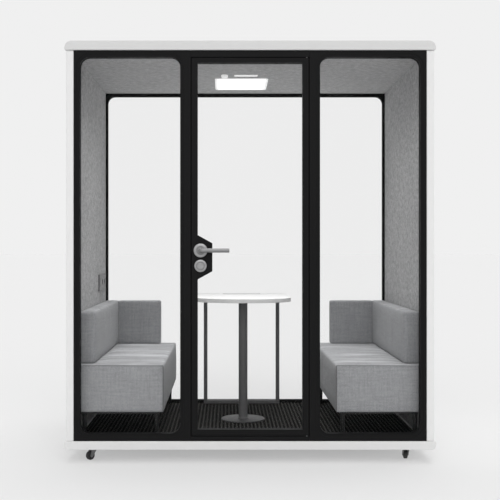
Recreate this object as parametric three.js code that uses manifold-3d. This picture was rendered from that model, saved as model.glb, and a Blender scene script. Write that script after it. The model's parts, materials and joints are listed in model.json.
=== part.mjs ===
// Acoustic office pod on castors: white shell, glazed front and back, two sofas and a table.
// Millimetres, Z up. The front with the door faces -Y and X runs to the right.
// The origin is on the floor, in the middle of the pod and its handles seen from above.
import * as THREE from 'three';
import { mergeVertices } from 'three/addons/utils/BufferGeometryUtils.js';
import Module from 'manifold-3d';

const wasm = await Module();
wasm.setup();

// Overall size, the gap left between pieces that touch, and how far a cut runs past the face it opens
const podWidth = 2020;
const podDepth = 1400;
const podHeight = 2300;
const fitGap = 0.3;
const overrun = 1;

// Shell: base, roof, walls, ceiling and floor
const castorHeight = 74;
const baseHeight = 46;
const baseEdgeRadius = 24;
const roofHeight = 52;
const roofEdgeRadius = 38;
const innerEdgeRadius = 8;
const frontBevel = 4;
const wallInset = 8;
const wallBoard = 24;
const wallFelt = 17;
const frontSetback = 10;
const ceilingThickness = 12;
const carpetThickness = 8;
const floorRecess = 20;
const roofSkin = 8;
const roofRim = 120;

// Black front: two glazed frames with the doorway between them
const frontDepth = 50;
const windowSideBorder = 34;
const windowTopBorder = 37;
const windowBottomBorder = 40;
const windowCornerRadius = 52;
const jambWidth = 58;
const doorwayWidth = 646;
const headHeight = 37;
const thresholdHeight = 26;
const glassThickness = 10;
const glassInset = 8;

// Door leaf, its pivots and the seal that it closes against
const doorGap = 4;
const doorThickness = 44;
const doorStile = 33;
const doorTopRail = 27;
const doorBottomRail = 33;
const pivotFromEdge = 10;
const pivotFromFace = 8;
const pivotRadius = 5;
const pivotLength = 20;
const pivotCollarRadius = 7;
const sealOverlap = 9;
const sealGap = 2;
const stopReach = 22;
const stopThickness = 12;

// Lock, lever and bolts
const leverHeight = 1038;
const backset = 49;
const lockReach = 80;
const lockHeight = 242;
const lockFaceHeight = 154;
const lockLeverRise = 37;
const boltDrop = 84;
const lockGlassGap = 1;
const roseRadius = 38;
const roseThickness = 8;
const roseChamfer = 2;
const cylinderRoseRadius = 34;
const plugRadius = 13;
const plugProud = 1;
const plugGrooveWidth = 2;
const plugGrooveDepth = 2;
const keywayWidth = 3;
const keywayDepth = 6;
const spindleRadius = 4;
const leverRadius = 11;
const leverNeckRadius = 10;
const leverStandoff = 45;
const leverLength = 157;
const latchThrow = 12;
const latchHeight = 16;
const latchThickness = 12;
const latchNose = 3;
const boltThrow = 20;
const boltHeight = 20;
const boltThickness = 16;
const boltSlack = 0.5;
const turnLength = 40;
const turnWidth = 10;
const turnReach = 22;
const turnCollarRadius = 30;
const strikeThickness = 2;
const strikeWidth = 32;
const strikeMargin = 22;

// Rear window
const rearDepth = 34;
const rearSideBorder = 15;
const rearTopBorder = 33;
const rearBottomBorder = 28;
const rearCornerRadius = 50;
const rearGlassThickness = 12;
const rearGlassInset = 6;

// Sofas
const sofaWallGap = 3;
const sofaFrontGap = 20;
const sofaRearGap = 6;
const legHeight = 155;
const legRadius = 11;
const legInset = 40;
const legRail = 30;
const legRailHeight = 12;
const seatWidth = 482;
const seatHeight = 260;
const seatCrown = 7;
const cushionRadius = 16;
const cushionEdgeStep = 6.4;
const cushionSwell = 5;
const sideBackThickness = 95;
const sideBackSetback = 85;
const rearBackThickness = 85;
const rearBackWidth = 285;
const backHeight = 290;

// Table
const furnitureX = -26;
const tableWidth = 600;
const tableLength = 780;
const tableRearGap = 16;
const tableHeight = 755;
const tableThickness = 25;
const tableBow = 220;
const tableCornerRadius = 30;
const columnRadius = 27.5;
const columnFromRear = 612;
const columnFlangeRadius = 70;
const columnFlangeThickness = 6;
const discRadius = 135;
const discThickness = 8;
const tubeSize = 25;
const rearFrameWidth = 517;
const rearFrameFromRear = 8;
const flapWidth = 236;
const flapLength = 110;
const flapThickness = 4;
const flapFromRear = 45;
const flapPinLength = 4;
const flapClearance = 0.6;
const cablePortMargin = 16;

// Ceiling fittings
const lightX = -34;
const lightFromRear = 173.5;
const lightWidth = 335;
const lightLength = 405;
const lightRadius = 26;
const lightFlange = 8;
const lightRim = 8;
const lightDrop = 4;
const lensRecess = 1;
const ventX = -9;
const ventToLight = 79.5;
const ventLength = 143;
const ventWidth = 36;
const ventFlange = 6;
const ventSlots = 3;
const ventSlotWidth = 4;
const sensorX = -141;
const sensorAheadOfVent = 8;
const sensorRadius = 20;
const sensorDrop = 26;
const sensorNeckRadius = 14;
const fanSize = 150;
const fanHeight = 36;
const fanDuctRadius = 62;
const fanBladeGap = 3;
const fanBlades = 7;
const fanBladeChord = 14;
const fanBladeRoot = 2;
const fanBladeThickness = 2.5;
const fanPitch = 0.6;
const fanHubRadius = 20;
const fanHubClearance = 1;
const fanMotorHeight = 12;
const fanShaftRadius = 3;
const fanShaftClearance = 2;
const fanStrut = 8;
const fanStrutHeight = 4;
const exhaustSlots = 6;
const exhaustSlotWidth = 9;

// Power and switch module on the left wall
const moduleFromRear = 76;
const moduleLength = 290;
const moduleHeight = 105;
const moduleAboveBase = 775;
const moduleThickness = 8;
const moduleBays = 3;
const socketRadius = 21;
const socketDepth = 5;
const rockerSize = 58;
const rockerThickness = 5;
const rockerProud = 2;
const rockerClearance = 0.6;
const rockerPinRadius = 1.5;
const rockerPinLength = 4;

// Castors: how far each swivel axis is from the base's edges, and the way each one happens to point
const castorFromSide = 143;
const castorFromEnd = 110;
const castorTrail = 20;
const castorTurns = { front_left: 220, front_right: 90, rear_left: 80, rear_right: 120 };
const wheelRadius = 25;
const wheelWidth = 20;
const wheelEdge = 2;
const wheelSides = 20;
const axleRadius = 4;
const forkGap = 1.5;
const forkThickness = 5;
const forkCrownLength = 30;
const forkCrownHeight = 6;
const forkEyeRadius = 9;
const forkEyeTilt = 18;
const stemRadius = 5.5;
const stemLength = 19;
const swivelRadius = 19;
const swivelHeight = 7;

// Facets of round pieces, and how close two corners are when they count as one
const roundSides = 16;
const smallSides = 10;
const smallRadius = 12;
const arcSteps = 4;
const weldDistance = 1e-4;

// Planes and half widths that the pieces share
const baseTop = castorHeight + baseHeight;
const roofBottom = podHeight - roofHeight;
const ceilingBottom = roofBottom - ceilingThickness;
const floorTop = baseTop - floorRecess + fitGap + carpetThickness;
const frontY = -podDepth / 2 + frontSetback;
const rearY = podDepth / 2 - frontSetback;
const cabinFrontY = frontY + frontDepth;
const cabinRearY = rearY - rearDepth;
const wallOuterX = podWidth / 2 - wallInset;
const boardInnerX = wallOuterX - wallBoard;
const cabinX = boardInnerX - wallFelt;
const doorwayX = doorwayWidth / 2;
const headBottom = roofBottom - headHeight;
const thresholdTop = baseTop + thresholdHeight;
const leafX = doorwayX - doorGap;
const leafBottom = thresholdTop + doorGap;
const leafTop = headBottom - doorGap;
const leafBackY = frontY + doorThickness;
const leafMidY = frontY + doorThickness / 2;
const leafOpeningX = leafX - doorStile;
const leverX = -leafX + backset;
const leverZ = baseTop + leverHeight;
const boltZ = leverZ - boltDrop;
const lockMidZ = leverZ - lockLeverRise;
const leverFrontY = frontY - leverStandoff - leverRadius;
const lightY = cabinRearY - lightFromRear - lightLength / 2;
const ventY = lightY - lightLength / 2 - ventToLight - ventWidth / 2;
const sensorY = ventY - sensorAheadOfVent;

const colours = {
  whiteBoard: { color: 0xe6e6e4, roughness: 0.5 },
  blackAluminium: { color: 0x1f1f20, roughness: 0.45, metalness: 0.2 },
  wallFelt: { color: 0x868687, roughness: 0.95 },
  ceilingFelt: { color: 0x787879, roughness: 0.95 },
  carpet: { color: 0x2b2a28, roughness: 1 },
  glass: { color: 0xdfe6e4, roughness: 0.05, transparent: true, opacity: 0.25 },
  rubber: { color: 0x18181a, roughness: 0.8 },
  satinSteel: { color: 0x9d9d9f, roughness: 0.35, metalness: 0.9 },
  sofaFabric: { color: 0x84868a, roughness: 0.95 },
  blackSteel: { color: 0x222223, roughness: 0.5, metalness: 0.3 },
  tableWhite: { color: 0xf2f2f0, roughness: 0.4 },
  darkSteel: { color: 0x424244, roughness: 0.45, metalness: 0.3 },
  greySteel: { color: 0x555557, roughness: 0.5, metalness: 0.3 },
  flapGrey: { color: 0xb9b9b9, roughness: 0.45 },
  whitePlastic: { color: 0xeeeeec, roughness: 0.4 },
  diffuser: { color: 0xffffff, roughness: 0.6, emissive: 0xffffff, emissiveIntensity: 0.6 },
  fanPlastic: { color: 0x2d2d2f, roughness: 0.6 },
  moduleGrey: { color: 0x8f8f90, roughness: 0.5 },
  castorGrey: { color: 0x3a3a3b, roughness: 0.6 },
};
const materials = Object.fromEntries(
  Object.entries(colours).map(([name, look]) => [name, new THREE.MeshStandardMaterial(look)]),
);

// Joining and cutting of closed meshes

function toSolid(geometry) {
  const bare = geometry.clone();
  bare.deleteAttribute('normal');
  bare.deleteAttribute('uv');
  const merged = mergeVertices(bare, weldDistance);
  const corners = Array.from(merged.index.array);
  const triangles = [];
  for (let i = 0; i < corners.length; i += 3) {
    const [a, b, c] = corners.slice(i, i + 3);
    if (a !== b && b !== c && c !== a) triangles.push(a, b, c);
  }
  const vertProperties = new Float32Array(merged.attributes.position.array);
  const triVerts = new Uint32Array(triangles);
  return new wasm.Manifold(new wasm.Mesh({ numProp: 3, vertProperties, triVerts }));
}

function toGeometry(solid) {
  const mesh = solid.getMesh();
  const geometry = new THREE.BufferGeometry();
  geometry.setAttribute('position', new THREE.BufferAttribute(new Float32Array(mesh.vertProperties), 3));
  geometry.setIndex(new THREE.BufferAttribute(new Uint32Array(mesh.triVerts), 1));
  geometry.computeVertexNormals();
  return geometry;
}

function join(...geometries) {
  const [first, ...rest] = geometries.map(toSolid);
  return toGeometry(rest.reduce((sum, piece) => sum.add(piece), first));
}

function cut(body, ...tools) {
  return toGeometry(tools.map(toSolid).reduce((left, tool) => left.subtract(tool), toSolid(body)));
}

// Basic shapes, placed by the span that they fill along each axis

function box([x0, x1], [y0, y1], [z0, z1]) {
  const geometry = new THREE.BoxGeometry(x1 - x0, y1 - y0, z1 - z0);
  return geometry.translate((x0 + x1) / 2, (y0 + y1) / 2, (z0 + z1) / 2);
}

function about(middle, size) {
  return [middle - size / 2, middle + size / 2];
}

function grown([low, high], amount) {
  return [low - amount, high + amount];
}

function rod(axis, radius, [from, to], [u, v]) {
  const middle = (from + to) / 2;
  const sides = radius < smallRadius ? smallSides : roundSides;
  const geometry = new THREE.CylinderGeometry(radius, radius, to - from, sides);
  if (axis === 'x') return geometry.rotateZ(Math.PI / 2).translate(middle, u, v);
  if (axis === 'y') return geometry.translate(u, middle, v);
  return geometry.rotateX(Math.PI / 2).translate(u, v, middle);
}

function ball(radius, centre) {
  const geometry = new THREE.SphereGeometry(radius, smallSides, smallSides / 2);
  return geometry.rotateZ(Math.PI / 2).translate(...centre);
}

function roundedShape([u0, u1], [v0, v1], lowRadius, highRadius = lowRadius) {
  const shape = new THREE.Shape();
  shape.absarc(u1 - lowRadius, v0 + lowRadius, lowRadius, -Math.PI / 2, 0);
  shape.absarc(u1 - highRadius, v1 - highRadius, highRadius, 0, Math.PI / 2);
  shape.absarc(u0 + highRadius, v1 - highRadius, highRadius, Math.PI / 2, Math.PI);
  shape.absarc(u0 + lowRadius, v0 + lowRadius, lowRadius, Math.PI, Math.PI * 1.5);
  return shape;
}

function outline(points) {
  return new THREE.Shape(points.map(([u, v]) => new THREE.Vector2(u, v)));
}

// A shape drawn in X and Y, raised from z0 to z1
function raised(shape, [z0, z1]) {
  const geometry = new THREE.ExtrudeGeometry(shape, {
    depth: z1 - z0, bevelEnabled: false, curveSegments: arcSteps,
  });
  return geometry.translate(0, 0, z0);
}

// A shape drawn in X and Z, running back from y0 to y1
function runningBack(shape, [y0, y1], bevel = 0) {
  const geometry = new THREE.ExtrudeGeometry(shape, {
    depth: y1 - y0 - 2 * bevel,
    bevelEnabled: bevel > 0,
    bevelThickness: bevel,
    bevelSize: bevel,
    bevelOffset: -bevel,
    bevelSegments: 1,
    curveSegments: arcSteps,
  });
  return geometry.rotateX(Math.PI / 2).translate(0, y1 - bevel, 0);
}

// A profile of [radius, height] points turned about Z
function turned(profile) {
  const points = profile.map(([radius, height]) => new THREE.Vector2(radius, height));
  return new THREE.LatheGeometry(points, roundSides).rotateX(Math.PI / 2);
}

function place(parent, name, geometry, material) {
  const mesh = new THREE.Mesh(geometry, material);
  mesh.name = name;
  parent.add(mesh);
  return mesh;
}

// A frame with a rounded opening and a groove all round it that holds a pane
function glazedFrame({ outerX, outerZ, openingX, openingZ, radius, spanY, pane, inset }) {
  const middleY = (spanY[0] + spanY[1]) / 2;
  const groove = box(
    grown(openingX, inset), about(middleY, pane + 2 * fitGap), grown(openingZ, inset),
  );
  const opening = runningBack(roundedShape(openingX, openingZ, radius), grown(spanY, overrun));
  const frame = cut(box(outerX, spanY, outerZ), opening, groove);
  const glass = box(
    grown(openingX, inset - fitGap), about(middleY, pane), grown(openingZ, inset - fitGap),
  );
  return { frame, glass };
}

// An upholstered block: rounded edges, and faces that swell in the middle.
// stops holds the grid lines along X, Y and Z, and each swell names a face and how far it stands out.
function cushion(stops, swells) {
  const counts = stops.map((list) => list.length - 1);
  const geometry = new THREE.BoxGeometry(1, 1, 1, ...counts);
  const position = geometry.attributes.position;
  const point = new THREE.Vector3();
  const core = new THREE.Vector3();
  const low = new THREE.Vector3(...stops.map((list) => list[0]));
  const high = new THREE.Vector3(...stops.map((list) => list[list.length - 1]));
  const coreLow = low.clone().addScalar(cushionRadius);
  const coreHigh = high.clone().addScalar(-cushionRadius);
  for (let i = 0; i < position.count; i += 1) {
    point.fromBufferAttribute(position, i);
    point.fromArray(point.toArray().map((t, k) => stops[k][Math.round((t + 0.5) * counts[k])]));
    core.copy(point).clamp(coreLow, coreHigh);
    const flat = point.clone();
    point.sub(core).setLength(cushionRadius).add(core);
    for (const { axis, side, amount, areas } of swells) {
      const onFace = flat.getComponent(axis) === (side > 0 ? high : low).getComponent(axis);
      const shares = areas.map(([other, from, to]) => {
        const t = (2 * point.getComponent(other) - from - to) / (to - from);
        return Math.max(0, 1 - t * t);
      });
      const lift = onFace ? side * amount * shares[0] * shares[1] : 0;
      point.setComponent(axis, point.getComponent(axis) + lift);
    }
    position.setXYZ(i, point.x, point.y, point.z);
  }
  return toGeometry(toSolid(geometry));
}

// Grid lines for a cushion along one axis: close together at the rounded edges, even between them
function gridLines(low, high, between, extra = []) {
  const inner = [low + cushionRadius, high - cushionRadius];
  const edges = [low, low + cushionEdgeStep, high - cushionEdgeStep, high];
  const lines = [...edges, ...inner, ...extra];
  for (let i = 1; i <= between; i += 1) {
    lines.push(inner[0] + ((inner[1] - inner[0]) * i) / (between + 1));
  }
  return [...new Set(lines)].sort((a, b) => a - b);
}

// White shell with its felt lining and carpet

function makeShell(pod) {
  const cabinSpanX = [-cabinX, cabinX];
  const wallSpanZ = [baseTop + fitGap, roofBottom - fitGap];
  const wholeX = [-podWidth / 2, podWidth / 2];
  const wholeY = [-podDepth / 2, podDepth / 2];

  const recessBottom = baseTop - floorRecess;
  const recess = box(cabinSpanX, [cabinFrontY, rearY + fitGap], [recessBottom, baseTop + overrun]);
  const sockets = castorPlaces().map(({ x, y }) => rod(
    'z', stemRadius + fitGap, [castorHeight - overrun, castorHeight + stemLength + fitGap], [x, y],
  ));
  const baseShape = roundedShape(wholeX, [castorHeight, baseTop], baseEdgeRadius, innerEdgeRadius);
  const base = cut(runningBack(baseShape, wholeY, frontBevel), recess, ...sockets);
  place(pod, 'base_tray', base, materials.whiteBoard);

  const carpet = box(
    grown(cabinSpanX, -fitGap),
    [cabinFrontY + fitGap, cabinRearY - fitGap],
    [recessBottom + fitGap, floorTop],
  );
  place(pod, 'carpet', carpet, materials.carpet);

  for (const [side, name] of [[-1, 'left'], [1, 'right']]) {
    const section = outline([
      [side * wallOuterX, frontY],
      [side * wallOuterX, rearY],
      [side * cabinX, rearY],
      [side * cabinX, cabinRearY],
      [side * boardInnerX, cabinRearY],
      [side * boardInnerX, cabinFrontY],
      [side * cabinX, cabinFrontY],
      [side * cabinX, frontY],
    ]);
    place(pod, `${name}_wall_shell`, raised(section, wallSpanZ), materials.whiteBoard);
    const feltX = [side * cabinX, side * (boardInnerX - fitGap)].sort((a, b) => a - b);
    const felt = box(feltX, [cabinFrontY + fitGap, cabinRearY - fitGap], wallSpanZ);
    place(pod, `${name}_wall_felt`, felt, materials.wallFelt);
  }

  const roofShape = roundedShape(wholeX, [roofBottom, podHeight], innerEdgeRadius, roofEdgeRadius);
  const cavity = box(
    grown(cabinSpanX, -roofRim),
    [cabinFrontY + roofRim, cabinRearY - roofRim],
    [roofBottom - overrun, podHeight - roofSkin],
  );
  const slotPitch = (2 * fanDuctRadius) / exhaustSlots;
  const slots = Array.from({ length: exhaustSlots }, (_, i) => box(
    about(ventX, 2 * fanDuctRadius),
    about(ventY + (i - (exhaustSlots - 1) / 2) * slotPitch, exhaustSlotWidth),
    grown([podHeight - roofSkin, podHeight], overrun),
  ));
  const roof = cut(runningBack(roofShape, wholeY, frontBevel), cavity, ...slots);
  place(pod, 'roof_cap', roof, materials.whiteBoard);

  const ceilingSpanZ = [ceilingBottom, roofBottom - fitGap];
  const throughZ = grown(ceilingSpanZ, overrun);
  const bodyX = about(lightX, lightWidth - 2 * lightFlange);
  const bodyY = about(lightY, lightLength - 2 * lightFlange);
  const lightHole = raised(roundedShape(grown(bodyX, fitGap), grown(bodyY, fitGap), lightRadius), throughZ);
  const ventHole = box(
    grown(about(ventX, ventLength - 2 * ventFlange), fitGap),
    grown(about(ventY, ventWidth - 2 * ventFlange), fitGap),
    throughZ,
  );
  const sensorHole = rod('z', sensorNeckRadius + fitGap, throughZ, [sensorX, sensorY]);
  const ceiling = cut(
    box(grown(cabinSpanX, -fitGap), [cabinFrontY + fitGap, cabinRearY - fitGap], ceilingSpanZ),
    lightHole,
    ventHole,
    sensorHole,
  );
  place(pod, 'ceiling_panel', ceiling, materials.ceilingFelt);
}

// Fixed black frames and their panes, the door's head, threshold, seal, pivots and strike

function makeFront(pod) {
  const spanY = [frontY, cabinFrontY];
  const outerZ = [baseTop + fitGap, roofBottom - fitGap];
  const openingZ = [baseTop + windowBottomBorder, roofBottom - windowTopBorder];

  for (const [side, name] of [[-1, 'left'], [1, 'right']]) {
    const span = (near, far) => [side * near, side * far].sort((a, b) => a - b);
    const { frame, glass } = glazedFrame({
      outerX: span(doorwayX, cabinX - fitGap),
      outerZ,
      openingX: span(doorwayX + jambWidth, cabinX - windowSideBorder),
      openingZ,
      radius: windowCornerRadius,
      spanY,
      pane: glassThickness,
      inset: glassInset,
    });
    const kept = side < 0 ? cut(frame, ...strikePockets()) : frame;
    place(pod, `front_${name}_frame`, kept, materials.blackAluminium);
    place(pod, `front_${name}_glass`, glass, materials.glass);
  }

  const barX = [-doorwayX + fitGap, doorwayX - fitGap];
  const pivotAt = [leafX - pivotFromEdge, frontY + pivotFromFace];
  const boreRadius = pivotRadius + fitGap;
  const headBoreZ = [headBottom - overrun, headBottom + pivotLength + fitGap];
  const headBore = rod('z', boreRadius, headBoreZ, pivotAt);
  const head = cut(box(barX, spanY, [headBottom, roofBottom - fitGap]), headBore);
  place(pod, 'door_head', head, materials.blackAluminium);
  const sillBoreZ = [thresholdTop - pivotLength - fitGap, thresholdTop + overrun];
  const sillBore = rod('z', boreRadius, sillBoreZ, pivotAt);
  const sill = cut(box(barX, spanY, [baseTop + fitGap, thresholdTop]), sillBore);
  place(pod, 'door_threshold', sill, materials.blackAluminium);

  const topPin = rod('z', pivotRadius, [leafTop - pivotLength, headBottom + pivotLength], pivotAt);
  place(pod, 'top_pivot_pin', topPin, materials.satinSteel);
  const bottomPin = join(
    rod('z', pivotRadius, [thresholdTop - pivotLength, leafBottom + pivotLength], pivotAt),
    rod('z', pivotCollarRadius, [thresholdTop + fitGap, leafBottom - fitGap], pivotAt),
  );
  place(pod, 'bottom_pivot_pin', bottomPin, materials.satinSteel);

  const stopY = [cabinFrontY + fitGap, cabinFrontY + fitGap + stopThickness];
  const lipY = [leafBackY + sealGap, stopY[1]];
  const innerX = leafX - sealOverlap;
  const innerZ = [leafBottom + sealOverlap, leafTop - sealOverlap];
  const doorStop = box(
    [-doorwayX - stopReach, doorwayX + stopReach],
    stopY,
    [thresholdTop - stopReach, headBottom + stopReach],
  );
  const lip = box(barX, lipY, [thresholdTop + fitGap, headBottom - fitGap]);
  const seal = cut(join(doorStop, lip), box([-innerX, innerX], grown(lipY, overrun), innerZ));
  place(pod, 'door_seal', seal, materials.rubber);

  const strikeX = [-doorwayX - strikeThickness, -doorwayX];
  const latchNotch = box(
    grown(strikeX, overrun),
    [leafMidY - strikeWidth, leafMidY + latchThickness / 2 + 2 * boltSlack],
    grown(about(leverZ, latchHeight), 2 * boltSlack),
  );
  const boltHole = box(
    grown(strikeX, overrun),
    grown(about(leafMidY, boltThickness), 2 * boltSlack),
    grown(about(boltZ, boltHeight), 2 * boltSlack),
  );
  const strike = cut(box(strikeX, about(leafMidY, strikeWidth), strikeSpanZ()), latchNotch, boltHole);
  place(pod, 'strike_plate', strike, materials.satinSteel);
}

function strikeSpanZ() {
  return [boltZ - boltHeight / 2 - strikeMargin, leverZ + latchHeight / 2 + strikeMargin];
}

// Pockets in the lock-side jamb: a seat for the strike plate, and a keep for each bolt.
// The latch's keep is open towards the front, the way the door swings.
function strikePockets() {
  const face = -doorwayX;
  const latchDepth = latchThrow - doorGap + strikeThickness;
  const boltDepth = boltThrow - doorGap + strikeThickness;
  const seat = box(
    [face - strikeThickness - fitGap, face + overrun],
    grown(about(leafMidY, strikeWidth), fitGap),
    grown(strikeSpanZ(), fitGap),
  );
  const latchKeep = box(
    [face - latchDepth, face + overrun],
    [frontY - overrun, leafMidY + latchThickness / 2 + 2 * boltSlack],
    grown(about(leverZ, latchHeight), 2 * boltSlack),
  );
  const boltKeep = box(
    [face - boltDepth, face + overrun],
    grown(about(leafMidY, boltThickness), 2 * boltSlack),
    grown(about(boltZ, boltHeight), 2 * boltSlack),
  );
  return [seat, latchKeep, boltKeep];
}

// Door leaf with its glass, lock, levers and bolts

function lockOutline(grow, leftX) {
  const rightX = -leafOpeningX + lockReach + grow;
  const half = lockHeight / 2 + grow;
  const faceHalf = lockFaceHeight / 2 + grow;
  return outline([
    [leftX, lockMidZ - half],
    [rightX, lockMidZ - faceHalf],
    [rightX, lockMidZ + faceHalf],
    [leftX, lockMidZ + half],
  ]);
}

function makeDoor(pod) {
  const spanY = [frontY, leafBackY];
  const openingX = [-leafOpeningX, leafOpeningX];
  const openingZ = [leafBottom + doorBottomRail, leafTop - doorTopRail];
  const groove = box(
    grown(openingX, glassInset),
    about(leafMidY, glassThickness + 2 * fitGap),
    grown(openingZ, glassInset),
  );
  const pivotAt = [leafX - pivotFromEdge, frontY + pivotFromFace];
  const boreRadius = pivotRadius + fitGap;
  const latchY = about(leafMidY, latchThickness);
  const latchZ = about(leverZ, latchHeight);
  const boltY = about(leafMidY, boltThickness);
  const boltSpanZ = about(boltZ, boltHeight);
  const stileX = grown([-leafX, -leafOpeningX], overrun);
  const leaf = cut(
    box([-leafX, leafX], spanY, [leafBottom, leafTop]),
    box(openingX, grown(spanY, overrun), openingZ),
    groove,
    rod('z', boreRadius, [leafTop - pivotLength - fitGap, leafTop + overrun], pivotAt),
    rod('z', boreRadius, [leafBottom - overrun, leafBottom + pivotLength + fitGap], pivotAt),
    box(stileX, grown(latchY, fitGap), grown(latchZ, fitGap)),
    box(stileX, grown(boltY, fitGap), grown(boltSpanZ, fitGap)),
  );
  place(pod, 'door_frame', leaf, materials.blackAluminium);

  const pane = box(
    grown(openingX, glassInset - fitGap),
    about(leafMidY, glassThickness),
    grown(openingZ, glassInset - fitGap),
  );
  const notch = runningBack(lockOutline(lockGlassGap, -leafOpeningX), spanY);
  const grooveNotch = box(
    [-leafX, -leafOpeningX + fitGap], spanY, about(lockMidZ, lockHeight + 2 * lockGlassGap),
  );
  place(pod, 'door_glass', cut(pane, notch, grooveNotch), materials.glass);

  const latchTailX = -leafOpeningX - spindleRadius;
  const caseX = -leafOpeningX + fitGap;
  const latchChannel = box(
    [caseX - overrun, latchTailX + latchThrow + boltSlack],
    grown(latchY, fitGap),
    grown(latchZ, fitGap),
  );
  const spindleBore = rod('y', spindleRadius + fitGap, grown(spanY, overrun), [leverX, leverZ]);
  const turnBore = rod('y', spindleRadius + fitGap, [leafMidY, leafBackY + overrun], [leverX, boltZ]);
  const lockCase = cut(runningBack(lockOutline(0, caseX), spanY), latchChannel, spindleBore, turnBore);
  place(pod, 'lock_case', lockCase, materials.blackAluminium);

  const tipX = -leafX - latchThrow;
  const latchShape = outline([
    [tipX, latchY[0]],
    [latchTailX, latchY[0]],
    [latchTailX, latchY[1]],
    [tipX + latchThrow - boltSlack, latchY[1]],
    [tipX, latchY[0] + latchNose],
  ]);
  place(pod, 'latch_bolt', raised(latchShape, latchZ), materials.satinSteel);
  const deadBolt = box([-leafX + boltSlack, latchTailX], boltY, boltSpanZ);
  place(pod, 'dead_bolt', deadBolt, materials.satinSteel);

  makeHandles(pod);
}

function makeHandles(pod) {
  const neckHole = leverNeckRadius + fitGap;
  const roseProfile = [
    [neckHole, 0],
    [roseRadius, 0],
    [roseRadius, roseThickness - roseChamfer],
    [roseRadius - roseChamfer, roseThickness],
    [neckHole, roseThickness],
    [neckHole, 0],
  ];
  // Each piece is drawn standing up from the door's face, then turned to face out or in
  const outward = (geometry, z) => geometry.rotateX(Math.PI / 2).translate(leverX, frontY - fitGap, z);
  const inward = (geometry, z) => geometry.rotateX(-Math.PI / 2).translate(leverX, leafBackY + fitGap, z);
  place(pod, 'outer_rose', outward(turned(roseProfile), leverZ), materials.satinSteel);
  place(pod, 'inner_rose', inward(turned(roseProfile), leverZ), materials.satinSteel);

  const standoff = leverStandoff - fitGap;
  const bar = join(
    rod('z', leverNeckRadius, [0, standoff], [0, 0]),
    ball(leverRadius, [0, 0, standoff]),
    rod('x', leverRadius, [0, leverLength - leverRadius], [0, standoff]),
    ball(leverRadius, [leverLength - leverRadius, 0, standoff]),
  );
  const spindleEnd = leafBackY + leverStandoff / 2;
  const spindle = rod('y', spindleRadius, [frontY - overrun, spindleEnd], [leverX, leverZ]);
  const outerLever = join(outward(bar.clone(), leverZ), spindle);
  place(pod, 'outer_lever', outerLever, materials.satinSteel);
  const spindleSocket = rod(
    'y', spindleRadius + fitGap, [leafBackY - overrun, spindleEnd + fitGap], [leverX, leverZ],
  );
  const innerLever = cut(inward(bar.clone(), leverZ), spindleSocket);
  place(pod, 'inner_lever', innerLever, materials.satinSteel);

  const ringTop = roseThickness - plugProud;
  const grooveRadius = plugRadius + plugGrooveWidth;
  const cylinderProfile = [
    [0, 0],
    [cylinderRoseRadius, 0],
    [cylinderRoseRadius, ringTop - roseChamfer],
    [cylinderRoseRadius - roseChamfer, ringTop],
    [grooveRadius, ringTop],
    [grooveRadius, ringTop - plugGrooveDepth],
    [plugRadius, ringTop - plugGrooveDepth],
    [plugRadius, roseThickness],
    [0, roseThickness],
  ];
  const keywayZ = [roseThickness - keywayDepth, roseThickness + overrun];
  const keyway = box(about(0, keywayWidth), about(0, plugRadius), keywayZ);
  const cylinder = outward(cut(turned(cylinderProfile), keyway), boltZ);
  place(pod, 'key_cylinder', cylinder, materials.satinSteel);

  const thumbTurn = join(
    rod('z', turnCollarRadius, [0, roseThickness], [0, 0]),
    box(about(0, turnWidth), about(0, turnLength), [roseThickness - overrun, roseThickness + turnReach]),
    rod('z', spindleRadius, [leafMidY - leafBackY + boltSlack, overrun], [0, 0]),
  );
  place(pod, 'thumb_turn', inward(thumbTurn, boltZ), materials.satinSteel);
}

// Rear window

function makeRear(pod) {
  const outerX = [-cabinX + fitGap, cabinX - fitGap];
  const bottom = baseTop - floorRecess;
  const { frame, glass } = glazedFrame({
    outerX,
    outerZ: [bottom + fitGap, roofBottom - fitGap],
    openingX: [-cabinX + rearSideBorder, cabinX - rearSideBorder],
    openingZ: [bottom + rearBottomBorder, roofBottom - rearTopBorder],
    radius: rearCornerRadius,
    spanY: [cabinRearY, rearY],
    pane: rearGlassThickness,
    inset: rearGlassInset,
  });
  place(pod, 'rear_frame', frame, materials.blackAluminium);
  place(pod, 'rear_glass', glass, materials.glass);
}

// One sofa: a seat block on a legged frame, a back along the wall and a short back at the rear

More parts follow.
